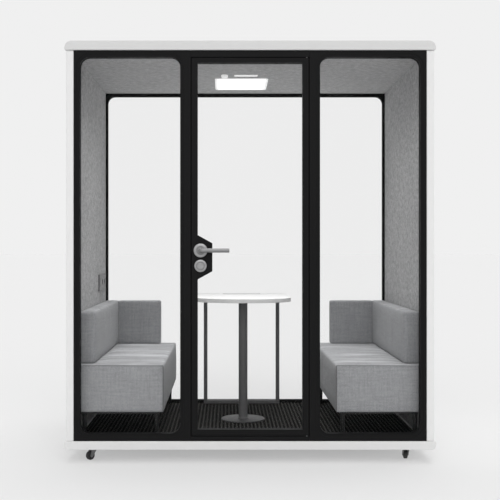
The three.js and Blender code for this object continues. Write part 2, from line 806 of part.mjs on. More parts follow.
function makeSofa(pod, side, name) {
  const span = (near, far) => [side * near, side * far].sort((a, b) => a - b);
  const wallX = cabinX - sofaWallGap;
  const aisleX = wallX - seatWidth;
  const frontEnd = cabinFrontY + sofaFrontGap;
  const rearEnd = cabinRearY - sofaRearGap;
  const legTop = floorTop + legHeight;
  const seatTop = legTop + seatHeight;
  const backBottom = seatTop + fitGap;
  const backTop = backBottom + backHeight;
  const sideFaceX = wallX - sideBackThickness;
  const rearFaceY = rearEnd - rearBackThickness;

  const seatX = span(aisleX + cushionSwell, wallX);
  const seatY = [frontEnd + cushionSwell, rearEnd];
  const seatZ = [legTop + fitGap, seatTop];
  const sitX = span(aisleX + cushionSwell, sideFaceX);
  const seat = cushion([
    gridLines(...seatX, 1, [side * sideFaceX]),
    gridLines(...seatY, 2, [rearFaceY]),
    gridLines(...seatZ, 1),
  ], [
    { axis: 2, side: 1, amount: seatCrown, areas: [[0, ...sitX], [1, seatY[0], rearFaceY]] },
    { axis: 0, side: -side, amount: cushionSwell, areas: [[1, ...seatY], [2, ...seatZ]] },
    { axis: 1, side: -1, amount: cushionSwell, areas: [[0, ...seatX], [2, ...seatZ]] },
  ]);
  place(pod, `${name}_sofa_seat`, seat, materials.sofaFabric);

  const sideBackX = span(sideFaceX + cushionSwell, wallX);
  const sideBackY = [frontEnd + sideBackSetback, rearEnd];
  const backZ = [backBottom, backTop];
  const sideBack = cushion([
    gridLines(...sideBackX, 0),
    gridLines(...sideBackY, 2, [rearFaceY]),
    gridLines(...backZ, 1),
  ], [
    { axis: 0, side: -side, amount: cushionSwell, areas: [[1, sideBackY[0], rearFaceY], [2, ...backZ]] },
  ]);
  place(pod, `${name}_sofa_side_back`, sideBack, materials.sofaFabric);

  const rearBackX = span(sideFaceX - fitGap - rearBackWidth, sideFaceX - fitGap);
  const rearBackY = [rearFaceY + cushionSwell, rearEnd];
  const rearBack = cushion([
    gridLines(...rearBackX, 1),
    gridLines(...rearBackY, 0),
    gridLines(...backZ, 1),
  ], [
    { axis: 1, side: -1, amount: cushionSwell, areas: [[0, ...rearBackX], [2, ...backZ]] },
  ]);
  place(pod, `${name}_sofa_rear_back`, rearBack, materials.sofaFabric);

  const legX = [aisleX + legInset, wallX - legInset].map((x) => side * x).sort((a, b) => a - b);
  const legY = [frontEnd + legInset, rearEnd - legInset];
  const railZ = [legTop - legRailHeight, legTop];
  const railX = grown(legX, legRail / 2);
  const railY = grown(legY, legRail / 2);
  const frame = cut(
    box(railX, railY, railZ),
    box(grown(railX, -legRail), grown(railY, -legRail), grown(railZ, overrun)),
  );
  const legs = legX.flatMap((x) => legY.map((y) => (
    rod('z', legRadius, [floorTop + fitGap, legTop - legRailHeight / 2], [x, y])
  )));
  place(pod, `${name}_sofa_leg_frame`, join(frame, ...legs), materials.blackSteel);
}

// Table: a top with a bowed front end on a disc-footed column and a rear tube frame

function makeTable(pod) {
  const rearEdge = cabinRearY - tableRearGap;
  const frontEdge = rearEdge - tableLength;
  const topZ = floorTop + tableHeight;
  const underside = topZ - tableThickness;
  const halfWidth = tableWidth / 2;
  const bowStart = frontEdge + tableBow;
  const corner = tableCornerRadius;
  const shape = new THREE.Shape();
  shape.absellipse(furnitureX, bowStart, halfWidth, tableBow, Math.PI, 2 * Math.PI);
  shape.absarc(furnitureX + halfWidth - corner, rearEdge - corner, corner, 0, Math.PI / 2);
  shape.absarc(furnitureX - halfWidth + corner, rearEdge - corner, corner, Math.PI / 2, Math.PI);
  const slab = new THREE.ExtrudeGeometry(shape, {
    depth: tableThickness, bevelEnabled: false, curveSegments: 2 * arcSteps,
  });

  const hingeY = rearEdge - flapFromRear;
  const pinRadius = flapThickness / 2;
  const hingeZ = topZ - pinRadius;
  const flapX = about(furnitureX, flapWidth);
  const flapY = [hingeY - flapLength, hingeY];
  const seat = box(
    grown(flapX, flapClearance),
    [flapY[0] - flapClearance, hingeY + pinRadius + flapClearance],
    [topZ - flapThickness - fitGap, topZ + overrun],
  );
  const port = box(
    grown(flapX, -cablePortMargin),
    grown(flapY, -cablePortMargin),
    [underside - overrun, topZ],
  );
  const pinHole = rod(
    'x', pinRadius + fitGap, grown(flapX, flapPinLength + flapClearance), [hingeY, hingeZ],
  );
  const top = cut(slab.translate(0, 0, underside), seat, port, pinHole);
  place(pod, 'table_top', top, materials.tableWhite);

  const flap = join(
    box(flapX, flapY, [topZ - flapThickness, topZ]),
    rod('x', pinRadius, flapX, [hingeY, hingeZ]),
    rod('x', pinRadius - fitGap, grown(flapX, flapPinLength), [hingeY, hingeZ]),
  );
  place(pod, 'cable_flap', flap, materials.flapGrey);

  const columnAt = [furnitureX, rearEdge - columnFromRear];
  const discTop = floorTop + fitGap + discThickness;
  const disc = rod('z', discRadius, [floorTop + fitGap, discTop], columnAt);
  place(pod, 'table_base_disc', disc, materials.greySteel);
  const column = join(
    rod('z', columnRadius, [discTop + fitGap, underside - fitGap], columnAt),
    rod('z', columnFlangeRadius, [underside - fitGap - columnFlangeThickness, underside - fitGap], columnAt),
  );
  place(pod, 'table_column', column, materials.darkSteel);

  const frameRear = rearEdge - rearFrameFromRear;
  const frameY = [frameRear - tubeSize, frameRear];
  const frameX = about(furnitureX, rearFrameWidth);
  const frameZ = [floorTop + fitGap, underside - fitGap];
  const rearFrame = cut(
    box(frameX, frameY, frameZ),
    box(grown(frameX, -tubeSize), grown(frameY, overrun), grown(frameZ, -tubeSize)),
  );
  place(pod, 'table_rear_frame', rearFrame, materials.darkSteel);
}

// Ceiling light, presence sensor, air vent and the fan above it in the roof

function makeCeilingFittings(pod) {
  const flangeZ = [ceilingBottom - fitGap - lightDrop, ceilingBottom - fitGap];
  const lightTop = roofBottom - 2 * fitGap;
  const outerX = about(lightX, lightWidth);
  const outerY = about(lightY, lightLength);
  const bodyX = grown(outerX, -lightFlange);
  const bodyY = grown(outerY, -lightFlange);
  const lensX = grown(bodyX, -lightRim);
  const lensY = grown(bodyY, -lightRim);
  const rim = cut(
    join(
      raised(roundedShape(outerX, outerY, lightRadius), flangeZ),
      raised(roundedShape(bodyX, bodyY, lightRadius), [flangeZ[0], lightTop]),
    ),
    raised(roundedShape(lensX, lensY, lightRadius - lightRim), grown([flangeZ[0], lightTop], overrun)),
  );
  place(pod, 'light_frame', rim, materials.whitePlastic);
  const lens = roundedShape(grown(lensX, -fitGap), grown(lensY, -fitGap), lightRadius - lightRim);
  const lensZ = [flangeZ[0] + lensRecess, flangeZ[1] + lightDrop];
  place(pod, 'light_diffuser', raised(lens, lensZ), materials.diffuser);

  const ventSpanX = about(ventX, ventLength);
  const ventSpanY = about(ventY, ventWidth);
  const slotPitch = (ventWidth - 2 * ventFlange) / ventSlots;
  const slots = Array.from({ length: ventSlots }, (_, i) => box(
    grown(ventSpanX, -2 * ventFlange),
    about(ventY + (i - (ventSlots - 1) / 2) * slotPitch, ventSlotWidth),
    [flangeZ[0] - overrun, roofBottom],
  ));
  const vent = cut(
    join(
      box(ventSpanX, ventSpanY, flangeZ),
      box(grown(ventSpanX, -ventFlange), grown(ventSpanY, -ventFlange), [flangeZ[0], lightTop]),
    ),
    ...slots,
  );
  place(pod, 'air_vent', vent, materials.whitePlastic);

  const dome = Array.from({ length: arcSteps }, (_, i) => {
    const angle = (i * Math.PI) / (2 * arcSteps);
    return [sensorRadius * Math.sin(angle), -sensorDrop * Math.cos(angle)];
  });
  const sensor = turned([
    ...dome,
    [sensorRadius, 0],
    [sensorNeckRadius, 0],
    [sensorNeckRadius, ceilingThickness],
    [0, ceilingThickness],
  ]);
  sensor.translate(sensorX, sensorY, ceilingBottom - fitGap);
  place(pod, 'presence_sensor', sensor, materials.whitePlastic);

  const at = [ventX, ventY];
  const fanZ = [roofBottom, roofBottom + fanHeight];
  const motorTop = fanZ[0] + fanMotorHeight;
  const shaftTop = fanZ[1] - fanShaftClearance;
  const casing = cut(
    box(about(ventX, fanSize), about(ventY, fanSize), fanZ),
    rod('z', fanDuctRadius, grown(fanZ, overrun), at),
  );
  const strutZ = [fanZ[0], fanZ[0] + fanStrutHeight];
  const housing = join(
    casing,
    box(about(ventX, fanSize - fanStrut), about(ventY, fanStrut), strutZ),
    box(about(ventX, fanStrut), about(ventY, fanSize - fanStrut), strutZ),
    rod('z', fanHubRadius, [fanZ[0], motorTop], at),
    rod('z', fanShaftRadius, [fanZ[0], shaftTop], at),
  );
  place(pod, 'fan_housing', housing, materials.fanPlastic);

  const hubZ = [motorTop + fitGap, fanZ[1] - fanHubClearance];
  const hubMid = (hubZ[0] + hubZ[1]) / 2;
  const bladeSpan = [fanHubRadius - fanBladeRoot, fanDuctRadius - fanBladeGap];
  const blades = Array.from({ length: fanBlades }, (_, i) => (
    box(bladeSpan, about(0, fanBladeChord), about(0, fanBladeThickness))
      .rotateX(fanPitch)
      .rotateZ((i * 2 * Math.PI) / fanBlades)
      .translate(ventX, ventY, hubMid)
  ));
  const hub = rod('z', fanHubRadius, hubZ, at);
  const shaftBore = rod('z', fanShaftRadius + fitGap, [motorTop, shaftTop + fitGap], at);
  place(pod, 'fan_impeller', cut(join(hub, ...blades), shaftBore), materials.fanPlastic);
}

// Wall module: two sockets and a rocker switch in one bezel

function makeWallModule(pod) {
  const backX = -cabinX + fitGap;
  const faceX = backX + moduleThickness;
  const endY = cabinRearY - moduleFromRear;
  const spanY = [endY - moduleLength, endY];
  const spanZ = [baseTop + moduleAboveBase, baseTop + moduleAboveBase + moduleHeight];
  const middleZ = (spanZ[0] + spanZ[1]) / 2;
  const bay = (index) => spanY[0] + (moduleLength * (index + 0.5)) / moduleBays;
  const rockerY = about(bay(0), rockerSize);
  const rockerZ = about(middleZ, rockerSize);
  const pivotX = faceX + rockerProud - rockerThickness / 2;
  const pinHole = rod(
    'y', rockerPinRadius + fitGap, grown(rockerY, rockerPinLength + rockerClearance), [pivotX, middleZ],
  );
  const sockets = [1, 2].map((index) => (
    rod('x', socketRadius, [faceX - socketDepth, faceX + overrun], [bay(index), middleZ])
  ));
  const bezel = cut(
    box([backX, faceX], spanY, spanZ),
    box(grown([backX, faceX], overrun), grown(rockerY, rockerClearance), grown(rockerZ, rockerClearance)),
    pinHole,
    ...sockets,
  );
  place(pod, 'wall_module_bezel', bezel, materials.moduleGrey);
  const rocker = join(
    box(about(pivotX, rockerThickness), rockerY, rockerZ),
    rod('y', rockerPinRadius, grown(rockerY, rockerPinLength), [pivotX, middleZ]),
  );
  place(pod, 'rocker_switch', rocker, materials.moduleGrey);
}

// Castors

function castorPlaces() {
  const x = podWidth / 2 - castorFromSide;
  const y = podDepth / 2 - castorFromEnd;
  const signs = { front_left: [-1, -1], front_right: [1, -1], rear_left: [-1, 1], rear_right: [1, 1] };
  return Object.entries(signs).map(([name, [sx, sy]]) => ({ name, x: sx * x, y: sy * y }));
}

function makeCastor(pod, { name, x, y }) {
  const castor = new THREE.Group();
  castor.position.set(x, y, 0);
  castor.rotation.z = THREE.MathUtils.degToRad(castorTurns[name]);
  pod.add(castor);

  // The wheel stands on one of its flats
  const axleZ = wheelRadius * Math.cos(Math.PI / wheelSides);
  const legInner = wheelWidth / 2 + forkGap;
  const legOuter = legInner + forkThickness;
  const swivelBottom = castorHeight - swivelHeight;
  const crownZ = [swivelBottom - forkCrownHeight, swivelBottom];
  const half = forkCrownLength / 2;
  const eyeTilt = THREE.MathUtils.degToRad(forkEyeTilt);
  const leg = new THREE.Shape();
  leg.moveTo(-half, crownZ[1]);
  leg.lineTo(-half, crownZ[0]);
  leg.absarc(castorTrail, axleZ, forkEyeRadius, Math.PI + eyeTilt, 2 * Math.PI + eyeTilt);
  leg.lineTo(half, crownZ[1]);
  const fork = join(
    runningBack(leg, [legInner, legOuter]),
    runningBack(leg, [-legOuter, -legInner]),
    box([-half, half], [-legOuter, legOuter], crownZ),
    rod('z', swivelRadius, [swivelBottom - overrun, castorHeight - fitGap], [0, 0]),
    rod('z', stemRadius, [swivelBottom, castorHeight + stemLength], [0, 0]),
    rod('y', axleRadius, [-legOuter, legOuter], [castorTrail, axleZ]),
  );
  place(castor, `castor_fork_${name}`, fork, materials.castorGrey);

  const bore = axleRadius + fitGap;
  const wheelProfile = [
    [bore, -wheelWidth / 2],
    [wheelRadius - wheelEdge, -wheelWidth / 2],
    [wheelRadius, -wheelWidth / 2 + wheelEdge],
    [wheelRadius, wheelWidth / 2 - wheelEdge],
    [wheelRadius - wheelEdge, wheelWidth / 2],
    [bore, wheelWidth / 2],
    [bore, -wheelWidth / 2],
  ].map(([radius, across]) => new THREE.Vector2(radius, across));
  const wheel = new THREE.LatheGeometry(wheelProfile, wheelSides)
    .rotateY(Math.PI / wheelSides)
    .translate(castorTrail, 0, axleZ);
  place(castor, `castor_wheel_${name}`, wheel, materials.castorGrey);
}

const pod = new THREE.Group();
pod.position.y = -(leverFrontY + podDepth / 2) / 2;
makeShell(pod);
makeFront(pod);
makeDoor(pod);
makeRear(pod);
makeSofa(pod, -1, 'left');
makeSofa(pod, 1, 'right');
makeTable(pod);
makeCeilingFittings(pod);
makeWallModule(pod);
castorPlaces().forEach((at) => makeCastor(pod, at));

export default pod;
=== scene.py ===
"""Acoustic office pod: the finished surfaces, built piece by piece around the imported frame."""
import json
import math

import bmesh
import bpy
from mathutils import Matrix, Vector, noise as rumples

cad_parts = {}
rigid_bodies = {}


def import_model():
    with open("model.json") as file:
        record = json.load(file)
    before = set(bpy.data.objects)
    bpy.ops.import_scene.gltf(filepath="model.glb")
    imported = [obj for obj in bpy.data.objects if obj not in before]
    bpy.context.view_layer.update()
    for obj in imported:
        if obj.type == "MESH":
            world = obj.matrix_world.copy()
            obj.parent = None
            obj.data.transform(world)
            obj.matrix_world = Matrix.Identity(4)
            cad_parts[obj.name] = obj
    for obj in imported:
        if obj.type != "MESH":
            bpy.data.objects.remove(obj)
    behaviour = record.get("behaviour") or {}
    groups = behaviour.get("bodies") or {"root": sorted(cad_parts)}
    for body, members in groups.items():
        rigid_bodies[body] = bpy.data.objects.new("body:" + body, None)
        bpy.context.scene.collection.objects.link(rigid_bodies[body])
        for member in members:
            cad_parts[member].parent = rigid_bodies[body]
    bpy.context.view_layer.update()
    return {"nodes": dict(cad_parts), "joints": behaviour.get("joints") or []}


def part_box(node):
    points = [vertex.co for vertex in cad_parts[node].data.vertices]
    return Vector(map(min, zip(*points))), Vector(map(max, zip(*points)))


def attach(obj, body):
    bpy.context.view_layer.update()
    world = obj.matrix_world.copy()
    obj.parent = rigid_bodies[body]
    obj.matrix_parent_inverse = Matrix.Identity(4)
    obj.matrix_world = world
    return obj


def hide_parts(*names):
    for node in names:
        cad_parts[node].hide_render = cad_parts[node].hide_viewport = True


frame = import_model()

# Base tray: a flat tray of white lacquered board that carries the whole pod.
# Its side edges are rounded over, and the carpet and the rear window stand in a recess routed
# into its top.


def only(piece):
    """Makes a piece the one that the next operator works on."""
    bpy.ops.object.select_all(action="DESELECT")
    piece.select_set(True)
    bpy.context.view_layer.objects.active = piece


def settle(name):
    """Names the newest primitive and moves its place and size into its mesh."""
    piece = bpy.context.object
    piece.name = name
    only(piece)
    bpy.ops.object.transform_apply(location=True, rotation=True, scale=True)
    return piece


def block(name, low, high):
    """A board between two corners."""
    low, high = Vector(low), Vector(high)
    bpy.ops.object.select_all(action="DESELECT")
    bpy.ops.mesh.primitive_cube_add(size=1, location=(low + high) / 2, scale=high - low)
    return settle(name)


def pick(piece, chosen):
    """Enters edit mode with the edges selected that pass a test of their middle and direction."""
    only(piece)
    bpy.ops.object.mode_set(mode="EDIT")
    bpy.ops.mesh.select_mode(type="EDGE")
    bpy.ops.mesh.select_all(action="DESELECT")
    mesh = bmesh.from_edit_mesh(piece.data)
    for edge in mesh.edges:
        start, end = (corner.co for corner in edge.verts)
        edge.select_set(chosen((start + end) / 2, (end - start).normalized()))
    bmesh.update_edit_mesh(piece.data)


def round_edges(piece, radius, chosen, segments=8):
    """Rounds over the chosen edges of a piece."""
    pick(piece, chosen)
    bpy.ops.mesh.bevel(offset=radius, segments=segments, affect="EDGES", clamp_overlap=True)
    bpy.ops.object.mode_set(mode="OBJECT")


def carve(piece, *cutters):
    """Cuts other shapes out of a piece and removes them."""
    for cutter in cutters:
        cut = piece.modifiers.new("cut", "BOOLEAN")
        cut.operation = "DIFFERENCE"
        cut.solver = "EXACT"
        cut.object = cutter
        only(piece)
        bpy.ops.object.modifier_apply(modifier=cut.name)
        bpy.data.objects.remove(cutter)


def smooth_curves(piece):
    """Shades the curves of a piece smooth and leaves its corners sharp."""
    only(piece)
    bpy.ops.object.shade_smooth_by_angle(angle=math.radians(35))


def ease_edges(piece, width, segments=2):
    """Breaks the sharp edges of a piece and shades its curves smooth and its flats flat."""
    only(piece)
    bevel = piece.modifiers.new("eased", "BEVEL")
    bevel.width = width
    bevel.segments = segments
    bevel.limit_method = "ANGLE"
    bevel.angle_limit = math.radians(40)
    bpy.ops.object.modifier_apply(modifier=bevel.name)
    smooth_curves(piece)
    flats = piece.modifiers.new("flats", "WEIGHTED_NORMAL")
    flats.keep_sharp = True
    bpy.ops.object.modifier_apply(modifier=flats.name)


def add_node(owner, kind, values=None, **settings):
    """A shader node with its settings, and its inputs set or linked."""
    made = owner.node_tree.nodes.new(kind)
    for key, value in settings.items():
        setattr(made, key, value)
    for key, value in (values or {}).items():
        if isinstance(value, bpy.types.NodeSocket):
            owner.node_tree.links.new(value, made.inputs[key])
        else:
            made.inputs[key].default_value = value
    return made


def new_finish(name, roughness, metallic=0.0):
    """A finish with its shader, and the socket of the place on the piece."""
    finish = bpy.data.materials.new(name)
    finish.use_nodes = True
    shader = finish.node_tree.nodes["Principled BSDF"]
    shader.inputs["Roughness"].default_value = roughness
    shader.inputs["Metallic"].default_value = metallic
    place = add_node(finish, "ShaderNodeTexCoord").outputs["Object"]
    return finish, shader, place


def noise(finish, place, scale, detail=2.0):
    """A noise of one scale, or of its own scale along each axis."""
    if isinstance(scale, tuple):
        place = add_node(finish, "ShaderNodeMapping", {"Vector": place, "Scale": scale}).outputs[0]
        scale = 1.0
    return add_node(
        finish, "ShaderNodeTexNoise", {"Vector": place, "Scale": scale, "Detail": detail}
    ).outputs["Fac"]


def between(finish, factor, first, second):
    """A colour between two others."""
    return add_node(
        finish, "ShaderNodeMix", {0: factor, 6: (*first, 1), 7: (*second, 1)}, data_type="RGBA"
    ).outputs[2]


def ranged(finish, value, low, high, start=0.3, end=0.7):
    """Spreads a value from one range to another."""
    return add_node(
        finish,
        "ShaderNodeMapRange",
        {"Value": value, "From Min": start, "From Max": end, "To Min": low, "To Max": high},
    ).outputs[0]


def relief(finish, shader, height, strength, depth):
    """Raises the surface by a height."""
    bump = add_node(
        finish, "ShaderNodeBump", {"Height": height, "Strength": strength, "Distance": depth}
    )
    finish.node_tree.links.new(bump.outputs[0], shader.inputs["Normal"])
    return bump


def coated(name, colour, roughness, grain, depth, shine=0.5):
    """Paint, powder coat or moulded plastic: faint clouds in its colour and gloss, and a fine grain."""
    cloud_scale = 14.0
    cloud_tone = 0.985
    gloss_scale = 30.0
    gloss_change = 0.03
    finish, shader, place = new_finish(name, roughness)
    shader.inputs["Specular IOR Level"].default_value = shine
    clouds = ranged(finish, noise(finish, place, cloud_scale, 5.0), 0, 1)
    worn = tuple(cloud_tone * c for c in colour)
    links = finish.node_tree.links
    links.new(between(finish, clouds, worn, colour), shader.inputs["Base Color"])
    gloss = noise(finish, place, gloss_scale, 3.0)
    gloss = ranged(finish, gloss, roughness - gloss_change, roughness + gloss_change)
    links.new(gloss, shader.inputs["Roughness"])
    relief(finish, shader, noise(finish, place, grain), 0.5, depth)
    return finish


# The base, walls and roof share one white lacquer; each gets its own level only to match how brightly it
# is lit: painted light and shade.
def lacquered(name, level):
    """White lacquer, a trace warm, with a soft gloss."""
    warmth = 0.003
    colour = (level, level, level - warmth)
    return coated(name, colour, roughness=0.42, grain=500.0, depth=0.00004, shine=0.3)


def dress(piece, finish, slot, body, *nodes):
    """Gives a piece its finish, its body and the nodes that it stands for."""
    piece.data.materials.clear()
    piece.data.materials.append(finish)
    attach(piece, body)
    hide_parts(*nodes)
    return piece


# The play between pieces that fit together, and how far a cutter stands past what it cuts.
fit = 0.0003
over = 0.01
# The base's lacquer is the roof's, set lighter to make up for the shade near the floor: painted light.
base_white_painted_light = lacquered("base_lacquer", 0.81)


def slab(name, low, high, low_radius, high_radius, end_radius):
    """A long slab whose side edges are rounded over, and whose ends are eased."""
    near = 0.001
    piece = block(name, low, high)
    for radius, level in ((low_radius, low.z), (high_radius, high.z)):
        round_edges(piece, radius, lambda at, run: abs(run.y) > 0.9 and abs(at.z - level) < near)
    round_edges(
        piece,
        end_radius,
        lambda at, run: min(at.y - low.y, high.y - at.y) < near and abs(run.y) < 0.1,
        3,
    )
    return piece


base_low, base_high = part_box("base_tray")
carpet_low, carpet_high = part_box("carpet")
rear_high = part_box("rear_frame")[1]
base = slab("base_board", base_low, base_high, low_radius=0.024, high_radius=0.008, end_radius=0.004)
recess = block(
    "recess",
    (carpet_low.x - fit, carpet_low.y - fit, carpet_low.z - fit),
    (carpet_high.x + fit, rear_high.y + fit, base_high.z + over),
)
carve(base, recess)
ease_edges(base, 0.001)
dress(base, base_white_painted_light, "white_board", "shell", "base_tray")

# Carpet: a dark woven floor covering with round ribs that run from the door to the rear window.
# It is cut to the recess and glued down.

rib_pitch = 0.0227
rib_height = 0.0028
rib_profile = (0.0, 0.0, 0.5, 1.0, 0.5, 0.0)
carpet_width = carpet_high.x - carpet_low.x
rib_columns = len(rib_profile) * round(carpet_width / rib_pitch)
bpy.ops.object.select_all(action="DESELECT")
bpy.ops.mesh.primitive_grid_add(
    x_subdivisions=rib_columns,
    y_subdivisions=1,
    size=1,
    location=((carpet_low.x + carpet_high.x) / 2, (carpet_low.y + carpet_high.y) / 2, carpet_low.z),
)
bpy.context.object.scale = (carpet_width, carpet_high.y - carpet_low.y, 1)
carpet = settle("ribbed_carpet")
only(carpet)
bpy.ops.object.mode_set(mode="EDIT")
bpy.ops.mesh.select_all(action="SELECT")
bpy.ops.mesh.extrude_region_move(
    TRANSFORM_OT_translate={"value": (0, 0, carpet_high.z - carpet_low.z - rib_height)}
)
top = bmesh.from_edit_mesh(carpet.data)
for corner in top.verts:
    column = round((corner.co.x - carpet_low.x) / carpet_width * rib_columns)
    if corner.co.z > carpet_low.z + rib_height:
        corner.co.z += rib_height * rib_profile[column % len(rib_profile)]
bmesh.update_edit_mesh(carpet.data)
bpy.ops.mesh.select_all(action="SELECT")
bpy.ops.mesh.normals_make_consistent(inside=False)
bpy.ops.object.mode_set(mode="OBJECT")
only(carpet)
bpy.ops.object.shade_smooth_by_angle(angle=math.radians(60))

pile, pile_shader, pile_place = new_finish("carpet_pile", roughness=0.95)
pile_shader.inputs["Specular IOR Level"].default_value = 0.05
# The pile is painted darker down into the grooves between the ribs than on their tops: painted shade in
# the grooves.
pile_height = add_node(pile, "ShaderNodeSeparateXYZ", {"Vector": pile_place}).outputs["Z"]
pile_groove_shade = ranged(pile, pile_height, 0, 1, carpet_high.z - rib_height, carpet_high.z)
pile_fleck = noise(pile, pile_place, (700.0, 120.0, 700.0), 3.0)
pile_mix = add_node(
    pile,
    "ShaderNodeMath",
    {0: pile_groove_shade, 1: ranged(pile, pile_fleck, 0.45, 1.2)},
    operation="MULTIPLY",
).outputs[0]
pile_dark = (0.002, 0.002, 0.002)
pile_light = (0.06, 0.058, 0.0543)
pile.node_tree.links.new(
    between(pile, pile_mix, pile_dark, pile_light), pile_shader.inputs["Base Color"]
)
relief(pile, pile_shader, pile_fleck, 0.8, 0.0012)
dress(carpet, pile, "carpet", "shell", "carpet")

# Side walls: white lacquered boards with a return at each end that hides the edges of the lining
# and of the glazing. They stand on the base and carry the roof.


def eased_copy(node, name, width, segments=2):
    """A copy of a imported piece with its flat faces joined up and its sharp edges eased."""
    piece = bpy.data.objects.new(name, frame["nodes"][node].data.copy())
    bpy.context.scene.collection.objects.link(piece)
    only(piece)
    bpy.ops.mesh.customdata_custom_splitnormals_clear()
    bpy.ops.object.mode_set(mode="EDIT")
    bpy.ops.mesh.select_all(action="SELECT")
    bpy.ops.mesh.remove_doubles(threshold=0.00002)
    bpy.ops.mesh.dissolve_limited(angle_limit=math.radians(1))
    bpy.ops.object.mode_set(mode="OBJECT")
    ease_edges(piece, width, segments)
    return piece


# The walls' lacquer is the roof's too, set lighter to match how brightly their edges are lit: painted
# light.
wall_white_painted_light = lacquered("wall_lacquer", 0.85)
for side in ("left", "right"):
    wall = eased_copy(f"{side}_wall_shell", f"{side}_wall_board", 0.004, 4)
    dress(wall, wall_white_painted_light, "white_board", "shell", f"{side}_wall_shell")

# Wall lining: felt over a sound-absorbing board, glued inside the white wall.
# Fibres of several greys are pressed into an even mottle.


def cloth(name, dark, light, slub_runs, weave, depth, drape=0.0, fibre_share=0.55):
    """Mottled cloth: thick and thin threads along each run, short fibres, and a fine weave."""
    finish, shader, place = new_finish(name, roughness=0.92)
    shader.inputs["Specular IOR Level"].default_value = 0.2
    slubs = noise(finish, place, slub_runs[0], 4.0)
    for runs in slub_runs[1:]:
        crossing = noise(finish, place, runs, 4.0)
        slubs = add_node(finish, "ShaderNodeMath", {0: slubs, 1: crossing}).outputs[0]
    layers = len(slub_runs)
    middle, spread = 0.5 * layers, 0.2 * math.sqrt(layers)
    slubs = ranged(finish, slubs, 0, 1, middle - spread, middle + spread)
    fibre_scale = 170.0
    fibres = ranged(finish, noise(finish, place, fibre_scale, 6.0), 0, 1)
    mottle = add_node(finish, "ShaderNodeMix", {0: fibre_share, 2: slubs, 3: fibres}).outputs[0]
    tone = between(finish, mottle, dark, light)
    finish.node_tree.links.new(tone, shader.inputs["Base Color"])
    height = fibres
    # A wave texture of scale 1 repeats every tau / 20, and this one once per thread.
    weave_scale = math.tau / (20 * weave)
    for direction in "XYZ":
        thread = add_node(
            finish,
            "ShaderNodeTexWave",
            {"Vector": place, "Scale": weave_scale, "Distortion": 0.6},
            bands_direction=direction,
        ).outputs["Fac"]
        height = add_node(finish, "ShaderNodeMath", {0: height, 1: thread}).outputs[0]
    threads = relief(finish, shader, height, 0.35, depth)
    if drape:
        fold_scale = 13.0
        folds = add_node(
            finish,
            "ShaderNodeBump",
            {"Height": noise(finish, place, fold_scale, 3.0), "Strength": 0.5, "Distance": drape},
        )
        finish.node_tree.links.new(folds.outputs[0], threads.inputs["Normal"])
    shader.inputs["Sheen Weight"].default_value = 0.15
    shader.inputs["Sheen Roughness"].default_value = 0.6
    return finish


wall_felt = cloth(
    "wall_felt",
    dark=(0.17, 0.17, 0.172),
    light=(0.63, 0.63, 0.635),
    slub_runs=((60.0, 34.0, 50.0),),
    weave=0.003,
    depth=0.0004,
)
for side in ("left", "right"):
    lining = eased_copy(f"{side}_wall_felt", f"{side}_wall_lining", 0.001)
    dress(lining, wall_felt, "wall_felt", "shell", f"{side}_wall_felt")

# Roof: a white lacquered slab with rounded side edges that lies over the walls.
# It is hollow over the cabin, and slots in its top let the fan's air out.

roof_low, roof_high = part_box("roof_cap")
fan_low, fan_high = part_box("fan_housing")
ceiling_low, ceiling_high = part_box("ceiling_panel")
roof_skin = 0.008
roof_rim = 0.12
slot_count = 6
slot_width = 0.009
slot_length = 0.124
roof_white = lacquered("roof_lacquer", 0.71)
roof = slab("roof_board", roof_low, roof_high, low_radius=0.008, high_radius=0.038, end_radius=0.004)
cavity = block(
    "cavity",
    (ceiling_low.x + roof_rim, ceiling_low.y + roof_rim, roof_low.z - over),
    (ceiling_high.x - roof_rim, ceiling_high.y - roof_rim, roof_high.z - roof_skin),
)
carve(roof, cavity)
fan_middle = (fan_low + fan_high) / 2
for number in range(slot_count):
    slot_y = fan_middle.y + (number - (slot_count - 1) / 2) * slot_length / slot_count
    slot = block(
        "slot",
        (fan_middle.x - slot_length / 2, slot_y - slot_width / 2, roof_high.z - 2 * roof_skin),
        (fan_middle.x + slot_length / 2, slot_y + slot_width / 2, roof_high.z + roof_skin),
    )
    round_edges(slot, 0.49 * slot_width, lambda at, run: abs(run.z) > 0.9, 6)
    carve(roof, slot)
ease_edges(roof, 0.0006)
dress(roof, roof_white, "white_board", "shell", "roof_cap")

# Ceiling: a board under the roof in the walls' felt, set a little lighter to make up for the shade
# under the roof: painted light.
# It is fixed to the roof from below and has holes for the light, the vent and the sensor.

ceiling_felt = cloth(
    "ceiling_felt",
    dark=(0.24, 0.24, 0.242),
    light=(0.63, 0.63, 0.634),
    slub_runs=((34.0, 34.0, 60.0),),
    weave=0.003,
    depth=0.0004,
)
ceiling = eased_copy("ceiling_panel", "ceiling_board", 0.001)
dress(ceiling, ceiling_felt, "ceiling_felt", "shell", "ceiling_panel")

# Fixed windows: black powder-coated aluminium frames with clear panes in a groove.
# The openings have rounded corners, and a glazing bead steps back a little round each pane.

black_frame = coated(
    "black_powder_coat", (0.0105, 0.0105, 0.0108), roughness=0.5, grain=1500.0, depth=0.00006, shine=0.06
)
clear_glass, glass_shader = new_finish("clear_glass", roughness=0.02)[:2]
glass_shader.inputs["Base Color"].default_value = (0.15, 0.17, 0.165, 1)
glass_shader.inputs["Alpha"].default_value = 0.01
glass_shader.inputs["IOR"].default_value = 1.5


def rounded_pane(name, low, high, radius):
    """A flat shape with rounded corners, seen from the front."""
    piece = block(name, low, high)
    round_edges(piece, radius, lambda at, run: abs(run.y) > 0.9, 16)
    return piece


